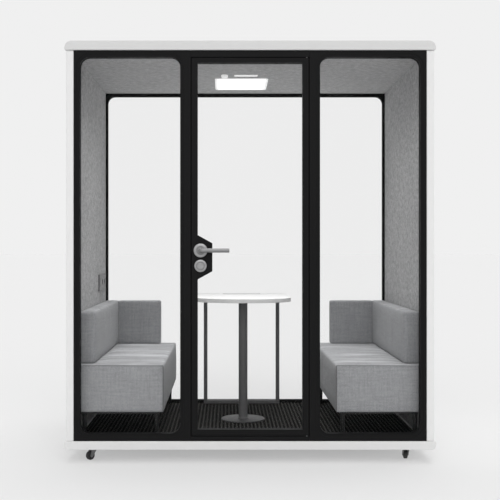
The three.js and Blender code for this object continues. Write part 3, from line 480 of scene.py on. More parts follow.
def window_frame(name, node, pane_node, rebate, radius, bead_width, bead_step):
    """A frame round one pane, with a groove for the pane and a bead round the opening."""
    low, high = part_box(node)
    pane_low, pane_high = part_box(pane_node)
    sash = block(name, low, high)
    inset = Vector((rebate, 0, rebate))
    through = Vector((0, 0.1, 0))
    opening = rounded_pane("opening", pane_low + inset - through, pane_high - inset + through, radius)
    groove = block("groove", pane_low - Vector((fit, fit, fit)), pane_high + Vector((fit, fit, fit)))
    bead = Vector((bead_width, 0, bead_width))
    bead_low = Vector((pane_low.x, low.y - over, pane_low.z)) + inset - bead
    bead_high = Vector((pane_high.x, low.y + bead_step, pane_high.z)) - inset + bead
    carve(sash, opening, groove, rounded_pane("bead", bead_low, bead_high, radius + bead_width))
    ease_edges(sash, 0.0012)
    return sash


def joint_named(name):
    """One of the joints of the frame."""
    return next(joint for joint in frame["joints"] if joint["name"] == name)


def lock_pockets():
    """The seat of the lock's keep in the jamb, and a pocket behind it for the latch and for the bolt."""
    slack = Vector((0.0025, 0.001, 0.001))
    seat_low, seat_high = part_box("strike_plate")
    seat = block("seat", seat_low - Vector((fit, fit, fit)), seat_high + Vector((over, fit, fit)))
    latch_low, latch_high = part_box("latch_bolt")
    latch_low.y -= over + slack.y
    latch_pocket = block("latch_pocket", latch_low - slack, latch_high + slack)
    bolt_low, bolt_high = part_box("dead_bolt")
    bolt_low.x -= joint_named("bolt_slide")["range_m"][1]
    return seat, latch_pocket, block("bolt_pocket", bolt_low - slack, bolt_high + slack)


for side in ("left", "right"):
    sash = window_frame(
        f"front_{side}_sash",
        f"front_{side}_frame",
        f"front_{side}_glass",
        rebate=0.0077,
        radius=0.052,
        bead_width=0.018,
        bead_step=0.003,
    )
    if side == "left":
        carve(sash, *lock_pockets())
    dress(sash, black_frame, "black_frame", "shell", f"front_{side}_frame")


def finish_packed(finish, *nodes):
    """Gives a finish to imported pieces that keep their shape."""
    for node in nodes:
        for held in frame["nodes"][node].material_slots:
            held.material = finish


finish_packed(clear_glass, "front_left_glass", "front_right_glass", "rear_glass", "door_glass")

# Rear window: one wide clear pane in a slim black powder-coated frame that fills the back of the pod.
# The frame stands in the base's recess, between the walls and under the roof.

rear_sash = window_frame(
    "rear_sash",
    "rear_frame",
    "rear_glass",
    rebate=0.0057,
    radius=0.05,
    bead_width=0.008,
    bead_step=0.002,
)
dress(rear_sash, black_frame, "black_frame", "shell", "rear_frame")

# Door surround: a black bar over the door, a low threshold under it, a rubber seal that the leaf
# closes against, and a keep of blackened steel let into the left jamb. Two steel pins carry the leaf.


def brushed(name, colour, roughness, runs):
    """Bare metal with a fine brushed grain."""
    finish, shader, place = new_finish(name, roughness, metallic=1.0)
    grain = ranged(finish, noise(finish, place, runs, 3.0), 0, 1)
    scratch_tone = 0.8
    scratch_depth = 0.00005
    gloss_change = 0.08
    darker = tuple(scratch_tone * c for c in colour)
    links = finish.node_tree.links
    links.new(between(finish, grain, darker, colour), shader.inputs["Base Color"])
    gloss = ranged(finish, grain, roughness - gloss_change, roughness + gloss_change, 0, 1)
    links.new(gloss, shader.inputs["Roughness"])
    relief(finish, shader, grain, 0.3, scratch_depth)
    return finish


def turned(name, profile, foot, along=(0, 0, 1), sides=48):
    """A round piece, drawn up from a disc through pairs of radius and height."""
    bpy.ops.object.select_all(action="DESELECT")
    radius, height = profile[0]
    bpy.ops.mesh.primitive_circle_add(
        vertices=sides, radius=radius, fill_type="NGON", location=(0, 0, height)
    )
    piece = settle(name)
    bpy.ops.object.mode_set(mode="EDIT")
    bpy.ops.mesh.select_all(action="SELECT")
    for next_radius, next_height in profile[1:]:
        rise = {"value": (0, 0, next_height - height)}
        bpy.ops.mesh.extrude_region_move(TRANSFORM_OT_translate=rise)
        grow = next_radius / radius
        bpy.ops.transform.resize(value=(grow, grow, 1), center_override=(0, 0, next_height))
        radius, height = next_radius, next_height
    bpy.ops.mesh.select_all(action="SELECT")
    bpy.ops.mesh.normals_make_consistent(inside=False)
    bpy.ops.object.mode_set(mode="OBJECT")
    piece.rotation_euler = Vector(along).to_track_quat("Z", "Y").to_euler()
    piece.location = foot
    piece = settle(name)
    smooth_curves(piece)
    return piece


seal_rubber = coated("seal_rubber", (0.016, 0.016, 0.016), roughness=0.75, grain=900.0, depth=0.0001)
satin_steel = brushed("satin_steel", (0.3, 0.3, 0.303), roughness=0.36, runs=(60.0, 60.0, 1400.0))
black_bolts = brushed("blackened_steel", (0.03, 0.03, 0.031), roughness=0.45, runs=(1400.0, 60.0, 60.0))
for node, piece_name, finish, slot in (
    ("door_head", "door_head_bar", black_frame, "black_frame"),
    ("door_threshold", "door_threshold_bar", black_frame, "black_frame"),
    ("door_seal", "door_seal_strip", seal_rubber, "seal_rubber"),
    ("strike_plate", "lock_keep", black_bolts, "satin_steel"),
):
    dress(eased_copy(node, piece_name, 0.0008), finish, slot, "shell", node)
pin_radius = 0.0048
pin_ease = 0.001
for end in ("top", "bottom"):
    pin_low, pin_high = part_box(f"{end}_pivot_pin")
    pin_length = pin_high.z - pin_low.z
    pin = turned(
        f"{end}_pivot",
        (
            (pin_radius - pin_ease, 0),
            (pin_radius, pin_ease),
            (pin_radius, pin_length - pin_ease),
            (pin_radius - pin_ease, pin_length),
        ),
        ((pin_low.x + pin_high.x) / 2, (pin_low.y + pin_high.y) / 2, pin_low.z),
    )
    dress(pin, satin_steel, "satin_steel", "shell", f"{end}_pivot_pin")

# Door leaf: a black powder-coated frame with square corners round one clear pane.
# A six-sided black lock case fills the left side of the pane at hand height. Its latch and its
# bolt are blackened steel.

leaf = eased_copy("door_frame", "door_leaf", 0.0012)
dress(leaf, black_frame, "black_frame", "door", "door_frame")
case = eased_copy("lock_case", "lock_body", 0.0015)
dress(case, black_frame, "black_frame", "door", "lock_case")
for node, piece_name, body in (
    ("latch_bolt", "spring_latch", "latch"),
    ("dead_bolt", "locking_bolt", "bolt"),
):
    dress(eased_copy(node, piece_name, 0.0005), black_bolts, "satin_steel", body, node)

# Door handles: satin steel levers on round roses, one on each face of the leaf. The groove in each
# rose is painted a darker grey: painted shade. Each lever is a round bar bent square near its root, with
# a wider boss where it leaves the rose.

lever_x, _, lever_z = joint_named("lever_turn")["pos_m"]
lever_steel = brushed("lever_steel", (0.37, 0.37, 0.373), roughness=0.68, runs=(40.0, 1400.0, 1400.0))
rose_steel = brushed("rose_steel", (0.37, 0.37, 0.373), roughness=0.4, runs=(60.0, 1400.0, 60.0))
# A darker grey laid into the grooves of the roses and the key cylinder: painted shade.
groove_shade_grey = coated("inlaid_ring", (0.25, 0.25, 0.252), roughness=0.6, grain=900.0, depth=0.0001, shine=0.2)


def paint_groove_shade(piece, x, z, inner, outer):
    """Paints the groove of a round piece a darker grey: painted shade."""
    piece.data.materials.append(groove_shade_grey)
    for face in piece.data.polygons:
        if inner < math.hypot(face.center.x - x, face.center.z - z) < outer:
            face.material_index = 1


groove_slope = 0.0005


def grooved_plate(radius, depth, outer, inner):
    """The profile of a round plate: its side, its rounded rim, and a groove between two radii."""
    rim_round = 0.003
    sunk = 0.25 * depth
    return (
        (radius, 0),
        (radius, depth - rim_round),
        (radius - 0.3 * rim_round, depth - 0.3 * rim_round),
        (radius - rim_round, depth),
        (outer, depth),
        (outer - groove_slope, depth - sunk),
        (inner + groove_slope, depth - sunk),
        (inner, depth),
    )


rose_rim = 0.38
rose_groove = 0.006
rose_hole = 0.0153


def rose(name, node, outward):
    """A flat rose with a raised rim and a hole for the lever."""
    low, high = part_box(node)
    radius = (high.x - low.x) / 2
    depth = high.y - low.y
    ring = (1 - rose_rim) * radius
    foot = (lever_x, high.y if outward < 0 else low.y, lever_z)
    profile = grooved_plate(radius, depth, ring, ring - rose_groove - groove_slope)
    piece = turned(name, (*profile, (0.3 * radius, depth)), foot, (0, outward, 0), sides=64)
    hole = turned("hole", ((rose_hole, -over), (rose_hole, depth + over)), foot, (0, outward, 0))
    carve(piece, hole)
    smooth_curves(piece)
    return piece


def lever(name, node, root, outward):
    """A round bar that leaves the rose, bends square and runs along the door."""
    low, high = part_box(node)
    thicker = 0.001
    radius = (high.z - low.z) / 2 + thicker
    bar = low.y + radius if outward < 0 else high.y - radius
    bend = 0.016
    boss = 0.015
    boss_length = 0.016
    boss_slope = 0.002
    tip_round = 0.003
    bpy.ops.object.select_all(action="DESELECT")
    bpy.ops.mesh.primitive_circle_add(
        vertices=32,
        radius=boss,
        fill_type="NGON",
        location=(lever_x, root, lever_z),
        rotation=(math.pi / 2, 0, 0),
    )
    piece = settle(name)
    bpy.ops.object.mode_set(mode="EDIT")
    bpy.ops.mesh.select_all(action="SELECT")
    neck = root + outward * boss_length
    for reach, grow in (
        (root + outward * (boss_length - boss_slope), 1),
        (neck, radius / boss),
        (bar - outward * bend, 1),
    ):
        step = {"value": (0, reach - root, 0)}
        bpy.ops.mesh.extrude_region_move(TRANSFORM_OT_translate=step)
        bpy.ops.transform.resize(value=(grow, 1, grow), center_override=(lever_x, reach, lever_z))
        root = reach
    bpy.ops.mesh.spin(
        steps=10,
        angle=math.pi / 2,
        center=(lever_x + bend, root, lever_z),
        axis=(0, 0, outward),
    )
    bpy.ops.mesh.extrude_region_move(
        TRANSFORM_OT_translate={"value": (high.x - lever_x - bend, 0, 0)}
    )
    bpy.ops.mesh.select_all(action="SELECT")
    bpy.ops.mesh.remove_doubles(threshold=0.00001)
    bpy.ops.mesh.normals_make_consistent(inside=False)
    bpy.ops.object.mode_set(mode="OBJECT")
    tip = high.x
    round_edges(piece, tip_round, lambda at, run: abs(at.x - tip) < 0.0001, 4)
    smooth_curves(piece)
    return piece


lever_sunk = 0.004
for place, outward in (("outer", -1), ("inner", 1)):
    rose_low, rose_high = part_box(f"{place}_rose")
    face = rose_low.y if outward < 0 else rose_high.y
    plate = rose(f"{place}_handle_rose", f"{place}_rose", outward)
    dress(plate, rose_steel, "satin_steel", "door", f"{place}_rose")
    ring_edge = (1 - rose_rim) * (rose_high.x - rose_low.x) / 2
    paint_groove_shade(plate, lever_x, lever_z, ring_edge - rose_groove, ring_edge)
    handle = lever(f"{place}_handle", f"{place}_lever", face - outward * lever_sunk, outward)
    dress(handle, lever_steel, "satin_steel", "lever", f"{place}_lever")

# Door lock: a round steel key cylinder outside and a thumb turn inside, below the levers.
# The groove round the cylinder's plug is painted a darker grey, as painted shade, and a keyway is cut
# into the plug.

key_low, key_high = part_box("key_cylinder")
key_middle = (key_low + key_high) / 2
key_radius = (key_high.x - key_low.x) / 2
key_depth = key_high.y - key_low.y
key_plug = 0.0175
key_groove = 0.006
keyway_width = 0.0028
keyway_height = 0.012
keyway_depth = 0.004
lock_front = turned(
    "key_lock",
    grooved_plate(key_radius, key_depth, key_plug + key_groove, key_plug),
    (key_middle.x, key_high.y, key_middle.z),
    (0, -1, 0),
    sides=64,
)
keyway = block(
    "keyway",
    (key_middle.x - keyway_width / 2, key_low.y - over, key_middle.z - keyway_height / 2),
    (key_middle.x + keyway_width / 2, key_low.y + keyway_depth, key_middle.z + keyway_height / 2),
)
carve(lock_front, keyway)
smooth_curves(lock_front)
dress(lock_front, rose_steel, "satin_steel", "door", "key_cylinder")
paint_groove_shade(lock_front, key_middle.x, key_middle.z, key_plug, key_plug + key_groove)

turn_low, turn_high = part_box("thumb_turn")
turn_middle = (turn_low + turn_high) / 2
turn_radius = (turn_high.x - turn_low.x) / 2
turn_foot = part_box("inner_rose")[0].y
grip_width = 0.012
grip_height = 0.042
grip_round = 0.0055
collar_depth = 0.008
collar_slope = 0.003
grip = block(
    "thumb_grip",
    (turn_middle.x - grip_width / 2, turn_foot + collar_depth / 2, turn_middle.z - grip_height / 2),
    (turn_middle.x + grip_width / 2, turn_high.y, turn_middle.z + grip_height / 2),
)
round_edges(grip, grip_round, lambda at, run: abs(run.y) > 0.9, 6)
ease_edges(grip, 0.0015, 3)
collar = turned(
    "thumb_turn_collar",
    (
        (turn_radius, 0),
        (turn_radius, collar_depth - collar_slope),
        (turn_radius - collar_slope, collar_depth),
        (0.3 * turn_radius, collar_depth),
    ),
    (turn_middle.x, turn_foot, turn_middle.z),
    (0, 1, 0),
    sides=64,
)
grip.select_set(True)
bpy.ops.object.join()
dress(collar, satin_steel, "satin_steel", "turn", "thumb_turn")

# Sofas: upholstered seats with a long back along the wall and a short back at the rear window.
# Grey cloth of uneven threads is sewn over foam with a seam along the top and the sides of each seat's
# front; the seam is a dark cord, painted shade. Faces that look up get lighter streaks, a painted sheen
# from the light above. The two sofas mirror each other.

thread_runs = ((9.0, 110.0, 110.0), (110.0, 9.0, 110.0), (110.0, 110.0, 9.0))
sheen_streak_colour = (0.65, 0.656, 0.674, 1)
sofa_fabric = cloth(
    "sofa_fabric",
    dark=(0.262, 0.266, 0.275),
    light=(0.365, 0.369, 0.38),
    slub_runs=thread_runs,
    weave=0.0024,
    depth=0.0006,
    drape=0.004,
    fibre_share=0.2,
)
fabric_shader = sofa_fabric.node_tree.nodes["Principled BSDF"]
fabric_tone = fabric_shader.inputs["Base Color"].links[0].from_socket
fabric_place = add_node(sofa_fabric, "ShaderNodeTexCoord").outputs["Object"]
fabric_up = add_node(
    sofa_fabric,
    "ShaderNodeSeparateXYZ",
    {"Vector": add_node(sofa_fabric, "ShaderNodeNewGeometry").outputs["Normal"]},
).outputs["Z"]
# Lighter streaks on the faces that look up: a painted sheen from the light above.
sheen_streak_bands = noise(sofa_fabric, fabric_place, (2.5, 12.0, 2.5), 3.0)
sheen_streak_bands = ranged(sofa_fabric, sheen_streak_bands, 0, 1, 0.45, 0.7)
painted_sheen_share = add_node(
    sofa_fabric,
    "ShaderNodeMath",
    {0: sheen_streak_bands, 1: ranged(sofa_fabric, fabric_up, 0, 0.65, 0.5, 1)},
    operation="MULTIPLY",
).outputs[0]
sheen_streak_tone = add_node(
    sofa_fabric, "ShaderNodeMix", {0: painted_sheen_share, 6: fabric_tone, 7: sheen_streak_colour}, data_type="RGBA"
).outputs[2]
sofa_fabric.node_tree.links.new(sheen_streak_tone, fabric_shader.inputs["Base Color"])
# The seam cord is darker than the cloth: painted shade in the seam.
seam_thread = cloth(
    "seam_thread",
    dark=(0.07, 0.071, 0.074),
    light=(0.13, 0.132, 0.136),
    slub_runs=((40.0, 40.0, 400.0),),
    weave=0.0024,
    depth=0.0003,
)
sofa_swell = 0.006
swell_frames = 20
rumple_runs = Vector((2.5, 9.0, 2.5))
rumple_fade = 0.07


def cushion(name, low, high, cell, sewn, rumple):
    """A box of foam in cloth that swells between its sewn edges, by a small cloth simulation."""
    pad = block(name, low, high)
    for axis in range(3):
        pick(pad, lambda at, run: abs(run[axis]) > 0.9)
        bpy.ops.mesh.subdivide(number_cuts=round((high[axis] - low[axis]) / cell) - 1)
        bpy.ops.object.mode_set(mode="OBJECT")
    flat = [corner.co.copy() for corner in pad.data.vertices]
    facing = [corner.normal.copy() for corner in pad.data.vertices]
    held = pad.vertex_groups.new(name="sewn")
    held.add([number for number, place in enumerate(flat) if sewn(place)], 1.0, "REPLACE")
    filling = pad.modifiers.new("filling", "CLOTH")
    filling.settings.use_pressure = True
    filling.settings.uniform_pressure_force = 4
    filling.settings.effector_weights.gravity = 0
    filling.settings.vertex_group_mass = "sewn"
    for moment in range(1, swell_frames + 1):
        bpy.context.scene.frame_set(moment)
    only(pad)
    bpy.ops.object.modifier_apply(modifier=filling.name)
    bpy.context.scene.frame_set(1)
    for corner, place in zip(pad.data.vertices, flat):
        moved = corner.co - place
        if moved.length > sofa_swell:
            corner.co = place + sofa_swell * moved.normalized()
    pad.vertex_groups.clear()
    for corner, place, outward in zip(pad.data.vertices, flat, facing):
        if not sewn(place):
            from_sides = (min(place[axis] - low[axis], high[axis] - place[axis]) for axis in range(3))
            from_edge = sorted(from_sides)[1]
            height = rumples.noise(rumple_runs * place) * min(1, from_edge / rumple_fade)
            corner.co += rumple * height * outward
    only(pad)
    smooth = pad.modifiers.new("smooth", "SUBSURF")
    smooth.levels = 2
    bpy.ops.object.modifier_apply(modifier=smooth.name)
    bpy.ops.object.shade_smooth()
    return pad


def piping(name, low, high, sewn, thickness):
    """The seams of a cushion: a thin cord along the chosen edges of its box."""
    cord = block(name, low, high)
    pick(cord, lambda at, run: not sewn(at, run))
    bpy.ops.mesh.delete(type="EDGE")
    bpy.ops.object.mode_set(mode="OBJECT")
    only(cord)
    bpy.ops.object.convert(target="CURVE")
    cord.data.bevel_depth = thickness
    cord.data.bevel_resolution = 2
    bpy.ops.object.convert(target="MESH")
    bpy.ops.object.shade_smooth()
    return cord


def mirrored(piece, name):
    """The same piece on the other side of the pod."""
    only(piece)
    bpy.ops.object.duplicate()
    twin = bpy.context.object
    twin.name = name
    twin.scale.x = -1
    bpy.ops.object.transform_apply(location=True, rotation=True, scale=True)
    bpy.ops.object.mode_set(mode="EDIT")
    bpy.ops.mesh.select_all(action="SELECT")
    bpy.ops.mesh.normals_make_consistent(inside=False)
    bpy.ops.object.mode_set(mode="OBJECT")
    return twin


plump_room = 0.003
seam_reach = 0.016
seam_inset = 0.0022
seam_radius = 0.0022
back_sunk = 0.008
side_back_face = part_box("left_sofa_side_back")[1].x
rear_back_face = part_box("left_sofa_rear_back")[0].y
for part, plump, cell, rumple in (
    ("seat", Vector((0, -1, 1)), 0.02, 0.006),
    ("side_back", Vector((1, -1, 0)), 0.024, 0.003),
    ("rear_back", Vector((0, -1, 0)), 0.018, 0.003),
):
    part_low, part_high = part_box(f"left_sofa_{part}")
    core_low, core_high = part_low.copy(), part_high.copy()
    for axis in range(3):
        if plump[axis] < 0:
            core_low[axis] += plump_room
        if plump[axis] > 0:
            core_high[axis] -= plump_room
    if part == "seat":
        core_high.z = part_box("left_sofa_rear_back")[0].z - fit
    else:
        core_low.z -= back_sunk / 4
    if part == "rear_back":
        core_low.x -= back_sunk

    def sewn_edge(place):
        """Whether a place on the cushion is held by a seam or by the piece that it rests on."""
        close = [min(place[a] - core_low[a], core_high[a] - place[a]) < seam_reach for a in range(3)]
        under = part == "seat" and place.z > core_high.z - seam_reach and (
            place.x < side_back_face + seam_reach or place.y > rear_back_face - seam_reach
        )
        resting = place.z < core_low.z + seam_reach / 2 or place.x < core_low.x + seam_reach / 2
        return sum(close) > 1 or under or resting or place.y > core_high.y - seam_reach / 2

    pad = cushion(f"left_{part}_cushion", core_low, core_high, cell, sewn_edge, rumple)
    pads = {"left": pad, "right": mirrored(pad, f"right_{part}_cushion")}
    for side in ("left", "right"):
        dress(pads[side], sofa_fabric, "sofa_fabric", "shell", f"{side}_sofa_{part}")
    if part == "seat":
        inset = Vector((seam_inset, seam_inset, seam_inset))
        seam = piping(
            "left_seat_seam",
            core_low + inset,
            core_high - inset,
            lambda at, run: at.y < core_low.y + seam_reach
            and (abs(run.z) > 0.9 or at.z > core_high.z - seam_reach),
            seam_radius,
        )
        dress(mirrored(seam, "right_seat_seam"), seam_thread, "sofa_fabric", "shell")
        dress(seam, seam_thread, "sofa_fabric", "shell")

# Sofa legs: a ring of flat black-painted steel under each seat, with round legs welded to it.
# The legs taper a little towards the floor.

black_steel = coated(
    "black_steel_paint", (0.016, 0.016, 0.0164), roughness=0.45, grain=1500.0, depth=0.00006, shine=0.25
)
ring_low, ring_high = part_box("left_sofa_leg_frame")
rail_width = 0.03
rail_height = 0.012
leg_tip = 0.00935
leg_foot = 0.0099
leg_head = 0.01375
leg_ease = 0.001
leg_inset = 0.015
ring = block("left_sofa_legs", (ring_low.x, ring_low.y, ring_high.z - rail_height), ring_high)
ring_hole = block(
    "ring_hole",
    (ring_low.x + rail_width, ring_low.y + rail_width, ring_high.z - rail_height - over),
    (ring_high.x - rail_width, ring_high.y - rail_width, ring_high.z + over),
)
carve(ring, ring_hole)
ease_edges(ring, 0.001)
legs = []
leg_length = ring_high.z - rail_height - ring_low.z
for leg_x in (ring_low.x + leg_inset, ring_high.x - leg_inset):
    for leg_y in (ring_low.y + leg_inset, ring_high.y - leg_inset):
        leg = turned(
            "leg",
            ((leg_tip, 0), (leg_foot, leg_ease), (leg_head, leg_length + leg_ease)),
            (leg_x, leg_y, ring_low.z),
            sides=32,
        )
        legs.append(leg)
only(ring)
for leg in legs:
    leg.select_set(True)
bpy.ops.object.join()
dress(mirrored(ring, "right_sofa_legs"), black_steel, "black_steel", "shell", "right_sofa_leg_frame")
dress(ring, black_steel, "black_steel", "shell", "left_sofa_leg_frame")

# Table top: a white laminated board with a bowed front edge and rounded rear corners.
# A pocket at the back holds a grey lift-up flap over a cable hole.

table_low, table_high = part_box("table_top")
flap_low, flap_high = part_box("cable_flap")
table_bow = 0.22
table_corner = 0.03
pocket_gap = 0.0008
cable_hole_inset = 0.02
table_middle = (table_low + table_high) / 2
table_white = coated(
    "white_laminate", (0.68, 0.68, 0.677), roughness=0.5, grain=900.0, depth=0.00003, shine=0.25
)
table = block("table_board", (table_low.x, table_low.y + table_bow, table_low.z), table_high)
round_edges(table, table_corner, lambda at, run: abs(run.z) > 0.9 and at.y > table_middle.y, 12)
bpy.ops.object.select_all(action="DESELECT")
bpy.ops.mesh.primitive_cylinder_add(
    vertices=160,
    radius=1,
    depth=table_high.z - table_low.z,
    location=(table_middle.x, table_low.y + table_bow, table_middle.z),
)
bpy.context.object.scale = ((table_high.x - table_low.x) / 2, table_bow, 1)
bow = settle("bow")
merge = table.modifiers.new("bow", "BOOLEAN")
merge.operation = "UNION"
merge.solver = "EXACT"
merge.object = bow
only(table)
bpy.ops.object.modifier_apply(modifier=merge.name)
bpy.data.objects.remove(bow)
only(table)
bpy.ops.object.mode_set(mode="EDIT")
bpy.ops.mesh.select_all(action="SELECT")
bpy.ops.mesh.remove_doubles(threshold=0.0001)
bpy.ops.mesh.dissolve_limited(angle_limit=math.radians(0.5))
bpy.ops.object.mode_set(mode="OBJECT")
pocket = block(
    "pocket",
    flap_low - Vector((pocket_gap, pocket_gap, pocket_gap)),
    (flap_high.x + pocket_gap, flap_high.y + pocket_gap, table_high.z + over),
)
cable_hole = block(
    "cable_hole",
    (flap_low.x + cable_hole_inset, flap_low.y + cable_hole_inset, table_low.z - over),
    (flap_high.x - cable_hole_inset, flap_high.y - cable_hole_inset, table_high.z),
)
carve(table, pocket, cable_hole)
ease_edges(table, 0.002, 3)
dress(table, table_white, "table_white", "shell", "table_top")
flap_grey = coated("flap_anodised", (0.47, 0.47, 0.474), roughness=0.45, grain=1200.0, depth=0.00004)
dress(eased_copy("cable_flap", "cable_lid", 0.0006), flap_grey, "flap_grey", "flap", "cable_flap")

# Table foot: a painted steel column with a flange under the top, on a round steel plate,
# and a square tube frame that carries the rear of the top.

column_low, column_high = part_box("table_column")
column_middle = (column_low + column_high) / 2
column_length = column_high.z - column_low.z
column_radius = 0.0275
foot_ring_radius = 1.25 * column_radius
foot_ring_height = 0.004
foot_ring_slope = 0.003
flange_radius = (column_high.x - column_low.x) / 2
flange_depth = 0.006
flange_ease = 0.001
dark_steel = coated(
    "dark_steel_paint", (0.13, 0.13, 0.132), roughness=0.45, grain=1500.0, depth=0.00006, shine=0.3
)
grey_steel = coated(
    "grey_steel_paint", (0.045, 0.045, 0.046), roughness=0.45, grain=1500.0, depth=0.00006, shine=0.15
)
column = turned(
    "table_post",
    (
        (foot_ring_radius, 0),
        (foot_ring_radius, foot_ring_height),
        (column_radius, foot_ring_height + foot_ring_slope),
        (column_radius, column_length - flange_depth),
        (flange_radius - flange_ease, column_length - flange_depth),
        (flange_radius, column_length - flange_depth + flange_ease),
        (flange_radius, column_length),
    ),
    (column_middle.x, column_middle.y, column_low.z),
    sides=64,
)
dress(column, dark_steel, "dark_steel", "shell", "table_column")
disc_low, disc_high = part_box("table_base_disc")
disc_middle = (disc_low + disc_high) / 2
disc_radius = (disc_high.x - disc_low.x) / 2
disc_depth = disc_high.z - disc_low.z
disc_ease = 0.001
plate = turned(
    "table_foot_plate",
    (
        (disc_radius - disc_ease, 0),
        (disc_radius, disc_ease),
        (disc_radius, disc_depth - 3 * disc_ease),
        (disc_radius - disc_ease, disc_depth - disc_ease),
        (disc_radius - 4 * disc_ease, disc_depth),
    ),
    (disc_middle.x, disc_middle.y, disc_low.z),
    sides=96,
)
dress(plate, grey_steel, "grey_steel", "shell", "table_base_disc")
tubes = eased_copy("table_rear_frame", "table_tube_frame", 0.0025, 3)
dress(tubes, dark_steel, "dark_steel", "shell", "table_rear_frame")

# Ceiling fittings: a white framed light panel, a slim air vent and a small round sensor, moulded in
# plastic and set into the ceiling's holes. The fan sits above the vent, in the hollow roof.

white_plastic = coated("white_plastic", (0.8, 0.8, 0.795), roughness=0.4, grain=700.0, depth=0.00004)
white_shader = white_plastic.node_tree.nodes["Principled BSDF"]
# The white plastic glows a little though it gives no light: painted light.
white_shader.inputs["Emission Color"].default_value = (1, 1, 1, 1)
white_shader.inputs["Emission Strength"].default_value = 0.4
for node, piece_name, ease in (
    ("light_frame", "light_rim", 0.001),
    ("air_vent", "vent_grille", 0.0005),
):
    dress(eased_copy(node, piece_name, ease), white_plastic, "white_plastic", "shell", node)
light_low, light_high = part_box("light_diffuser")
lens_corner = 0.024
lens = block("light_lens", light_low, light_high)
round_edges(lens, lens_corner, lambda at, run: abs(run.z) > 0.9)
ease_edges(lens, 0.0015)
lens_finish, lens_shader, lens_place = new_finish("lit_diffuser", roughness=0.5)
lens_glow = between(
    lens_finish, noise(lens_finish, lens_place, 400.0), (0.94, 0.94, 0.93), (1.0, 1.0, 0.99)
)
lens_finish.node_tree.links.new(lens_glow, lens_shader.inputs["Base Color"])
lens_shader.inputs["Emission Color"].default_value = (1, 1, 1, 1)
lens_shader.inputs["Emission Strength"].default_value = 0.9
dress(lens, lens_finish, "diffuser", "shell", "light_diffuser")
sensor_low, sensor_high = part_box("presence_sensor")
sensor_middle = (sensor_low + sensor_high) / 2
sensor_radius = (sensor_high.x - sensor_low.x) / 2
sensor_drop = ceiling_low.z - sensor_low.z
sensor_rim = 0.007
sensor_ease = 0.001
sensor_tip = 0.0006
dome_steps = 8
dome_height = sensor_drop - sensor_rim
dome = [(sensor_radius - sensor_ease, 0), (sensor_radius, sensor_ease), (sensor_radius, sensor_rim)]
for step in range(1, dome_steps):
    turn = step / dome_steps * math.pi / 2
    dome.append((sensor_radius * math.cos(turn), sensor_rim + dome_height * math.sin(turn)))
dome.append((sensor_tip, sensor_drop))
sensor = turned("sensor_dome", dome, (sensor_middle.x, sensor_middle.y, ceiling_low.z), (0, 0, -1))
dress(sensor, white_plastic, "white_plastic", "shell", "presence_sensor")
fan_plastic = coated("fan_plastic", (0.03, 0.03, 0.031), roughness=0.5, grain=800.0, depth=0.00006)
finish_packed(fan_plastic, "fan_housing", "fan_impeller")

# Wall panel: a grey plate of moulded plastic with a rocker switch and two round sockets.
# It is fixed on the lining of the left wall, above the back of the sofa.

module_grey = coated("module_plastic", (0.13, 0.13, 0.133), roughness=0.45, grain=900.0, depth=0.00006)
panel = eased_copy("wall_module_bezel", "wall_panel", 0.001)
dress(panel, module_grey, "module_grey", "shell", "wall_module_bezel")
rocker = eased_copy("rocker_switch", "light_rocker", 0.0008)
dress(rocker, module_grey, "module_grey", "rocker", "rocker_switch")

# Castors: swivel forks of pressed, zinc-plated steel, each with a wheel of hard black rubber.
# The wheel is turned once and copied to each fork.

castor_steel = brushed("castor_zinc", (0.2, 0.2, 0.203), roughness=0.42, runs=(300.0, 300.0, 300.0))
castor_tyre = coated("castor_tyre", (0.03, 0.03, 0.031), roughness=0.65, grain=900.0, depth=0.0001)
tyre_radius = 0.0246
tyre_half = 0.0095
hub_groove = 0.002
tread_round = 0.003
tyre_face = (
    (0.3, 0),
    (0.55, 0),
    (0.6, hub_groove),
    (0.68, hub_groove),
    (0.72, 0),
    (0.9, 0),
    (1, tread_round),
)
tyre_profile = [(share * tyre_radius, inset - tyre_half) for share, inset in tyre_face]
tyre_profile += [(share * tyre_radius, tyre_half - inset) for share, inset in reversed(tyre_face)]
tyre = turned("tyre", tyre_profile, (0, 0, 0))
for joint in frame["joints"]:
    if joint["name"].startswith("roll_"):
        corner_name = joint["name"][len("roll_"):]
        only(tyre)
        bpy.ops.object.duplicate()
        wheel = bpy.context.object
        wheel.rotation_euler = Vector(joint["axis"]).to_track_quat("Z", "Y").to_euler()
        wheel.location = joint["pos_m"]
        wheel = settle(f"{corner_name}_tyre")
        dress(wheel, castor_tyre, "castor_tyre", f"wheel_{corner_name}", f"castor_wheel_{corner_name}")
        fork = eased_copy(f"castor_fork_{corner_name}", f"{corner_name}_fork", 0.0006)
        dress(fork, castor_steel, "castor_steel", f"fork_{corner_name}", f"castor_fork_{corner_name}")
bpy.data.objects.remove(tyre)

# Studio: a plain pale floor and background, soft light all round, soft suns from the front and from
# overhead, and the pod's own ceiling light. The camera stands where the photograph was taken.

backdrop = 0.871
ambient = 0.56
floor_grey = 0.82
floor_glow = 0.45
bpy.ops.object.select_all(action="DESELECT")
bpy.ops.mesh.primitive_plane_add(size=400)
floor = settle("studio_floor")
floor_paint, floor_shader = new_finish("studio_floor_paint", roughness=0.9)[:2]
floor_shader.inputs["Base Color"].default_value = (floor_grey, floor_grey, floor_grey, 1)
floor_shader.inputs["Specular IOR Level"].default_value = 0.0


def seen_rays(owner):
    """One for a ray from the camera, off a shiny surface or through glass, and nothing for others."""
    rays = add_node(owner, "ShaderNodeLightPath").outputs
    seen = rays["Is Camera Ray"]
    for kind in ("Is Glossy Ray", "Is Transmission Ray"):
        seen = add_node(
            owner, "ShaderNodeMath", {0: seen, 1: rays[kind]}, operation="MAXIMUM"
        ).outputs[0]
    return seen


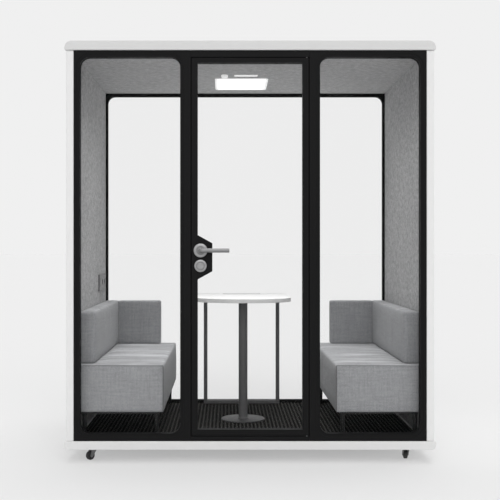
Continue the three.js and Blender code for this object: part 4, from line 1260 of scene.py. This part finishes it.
backdrop_colour = (backdrop, backdrop, backdrop, 1)
floor_pale = add_node(floor_paint, "ShaderNodeEmission", {"Color": backdrop_colour}).outputs[0]
floor_share = add_node(
    floor_paint, "ShaderNodeMath", {0: seen_rays(floor_paint), 1: floor_glow}, operation="MULTIPLY"
).outputs[0]
floor_look = add_node(
    floor_paint, "ShaderNodeMixShader", {0: floor_share, 1: floor_shader.outputs[0], 2: floor_pale}
).outputs[0]
floor_nodes = floor_paint.node_tree.nodes
floor_paint.node_tree.links.new(floor_look, floor_nodes["Material Output"].inputs["Surface"])
floor.data.materials.append(floor_paint)

world = bpy.data.worlds.new("studio")
bpy.context.scene.world = world
world.use_nodes = True
world.node_tree.nodes.clear()
glow = add_node(world, "ShaderNodeBackground", {"Color": (1, 1, 1, 1), "Strength": ambient}).outputs[0]
pale = add_node(world, "ShaderNodeBackground", {"Color": backdrop_colour}).outputs[0]
sky = add_node(world, "ShaderNodeMixShader", {0: seen_rays(world), 1: glow, 2: pale}).outputs[0]
add_node(world, "ShaderNodeOutputWorld", {"Surface": sky})

for sun_name, sun_from, strength, spread in (
    ("front_sun", Vector((0.05, -1.0, 0.75)), 0.9, 50),
    ("overhead_sun", Vector((0.1, 0.12, 1.0)), 1.0, 35),
):
    bpy.ops.object.light_add(type="SUN", location=6 * sun_from)
    sun = bpy.context.object
    sun.name = sun_name
    sun.rotation_euler = sun_from.to_track_quat("Z", "Y").to_euler()
    sun.data.energy = strength
    sun.data.angle = math.radians(spread)

lamp_drop = 0.03
bpy.ops.object.light_add(type="AREA", location=(0, -0.1, ceiling_low.z - lamp_drop))
lamp = bpy.context.object
lamp.name = "cabin_light"
lamp.data.shape = "RECTANGLE"
lamp.data.size = 1.7
lamp.data.size_y = 1.0
lamp.data.energy = 7.5
lamp.data.spread = math.radians(70)
lamp.visible_camera = False
cabin = bpy.data.collections.new("cabin")
for piece in bpy.context.scene.objects:
    if piece.type == "MESH" and piece != floor:
        cabin.objects.link(piece)
lamp.light_linking.receiver_collection = cabin

bpy.ops.object.camera_add(location=(-0.127, -5.731, 1.166), rotation=(math.pi / 2, 0, 0))
camera = bpy.context.object
camera.data.lens = 67
camera.data.sensor_width = 36
camera.data.shift_x = 0.0464
camera.data.shift_y = -0.002
camera.data.clip_end = 600
bpy.context.scene.camera = camera
bpy.context.scene.view_settings.view_transform = "Standard"
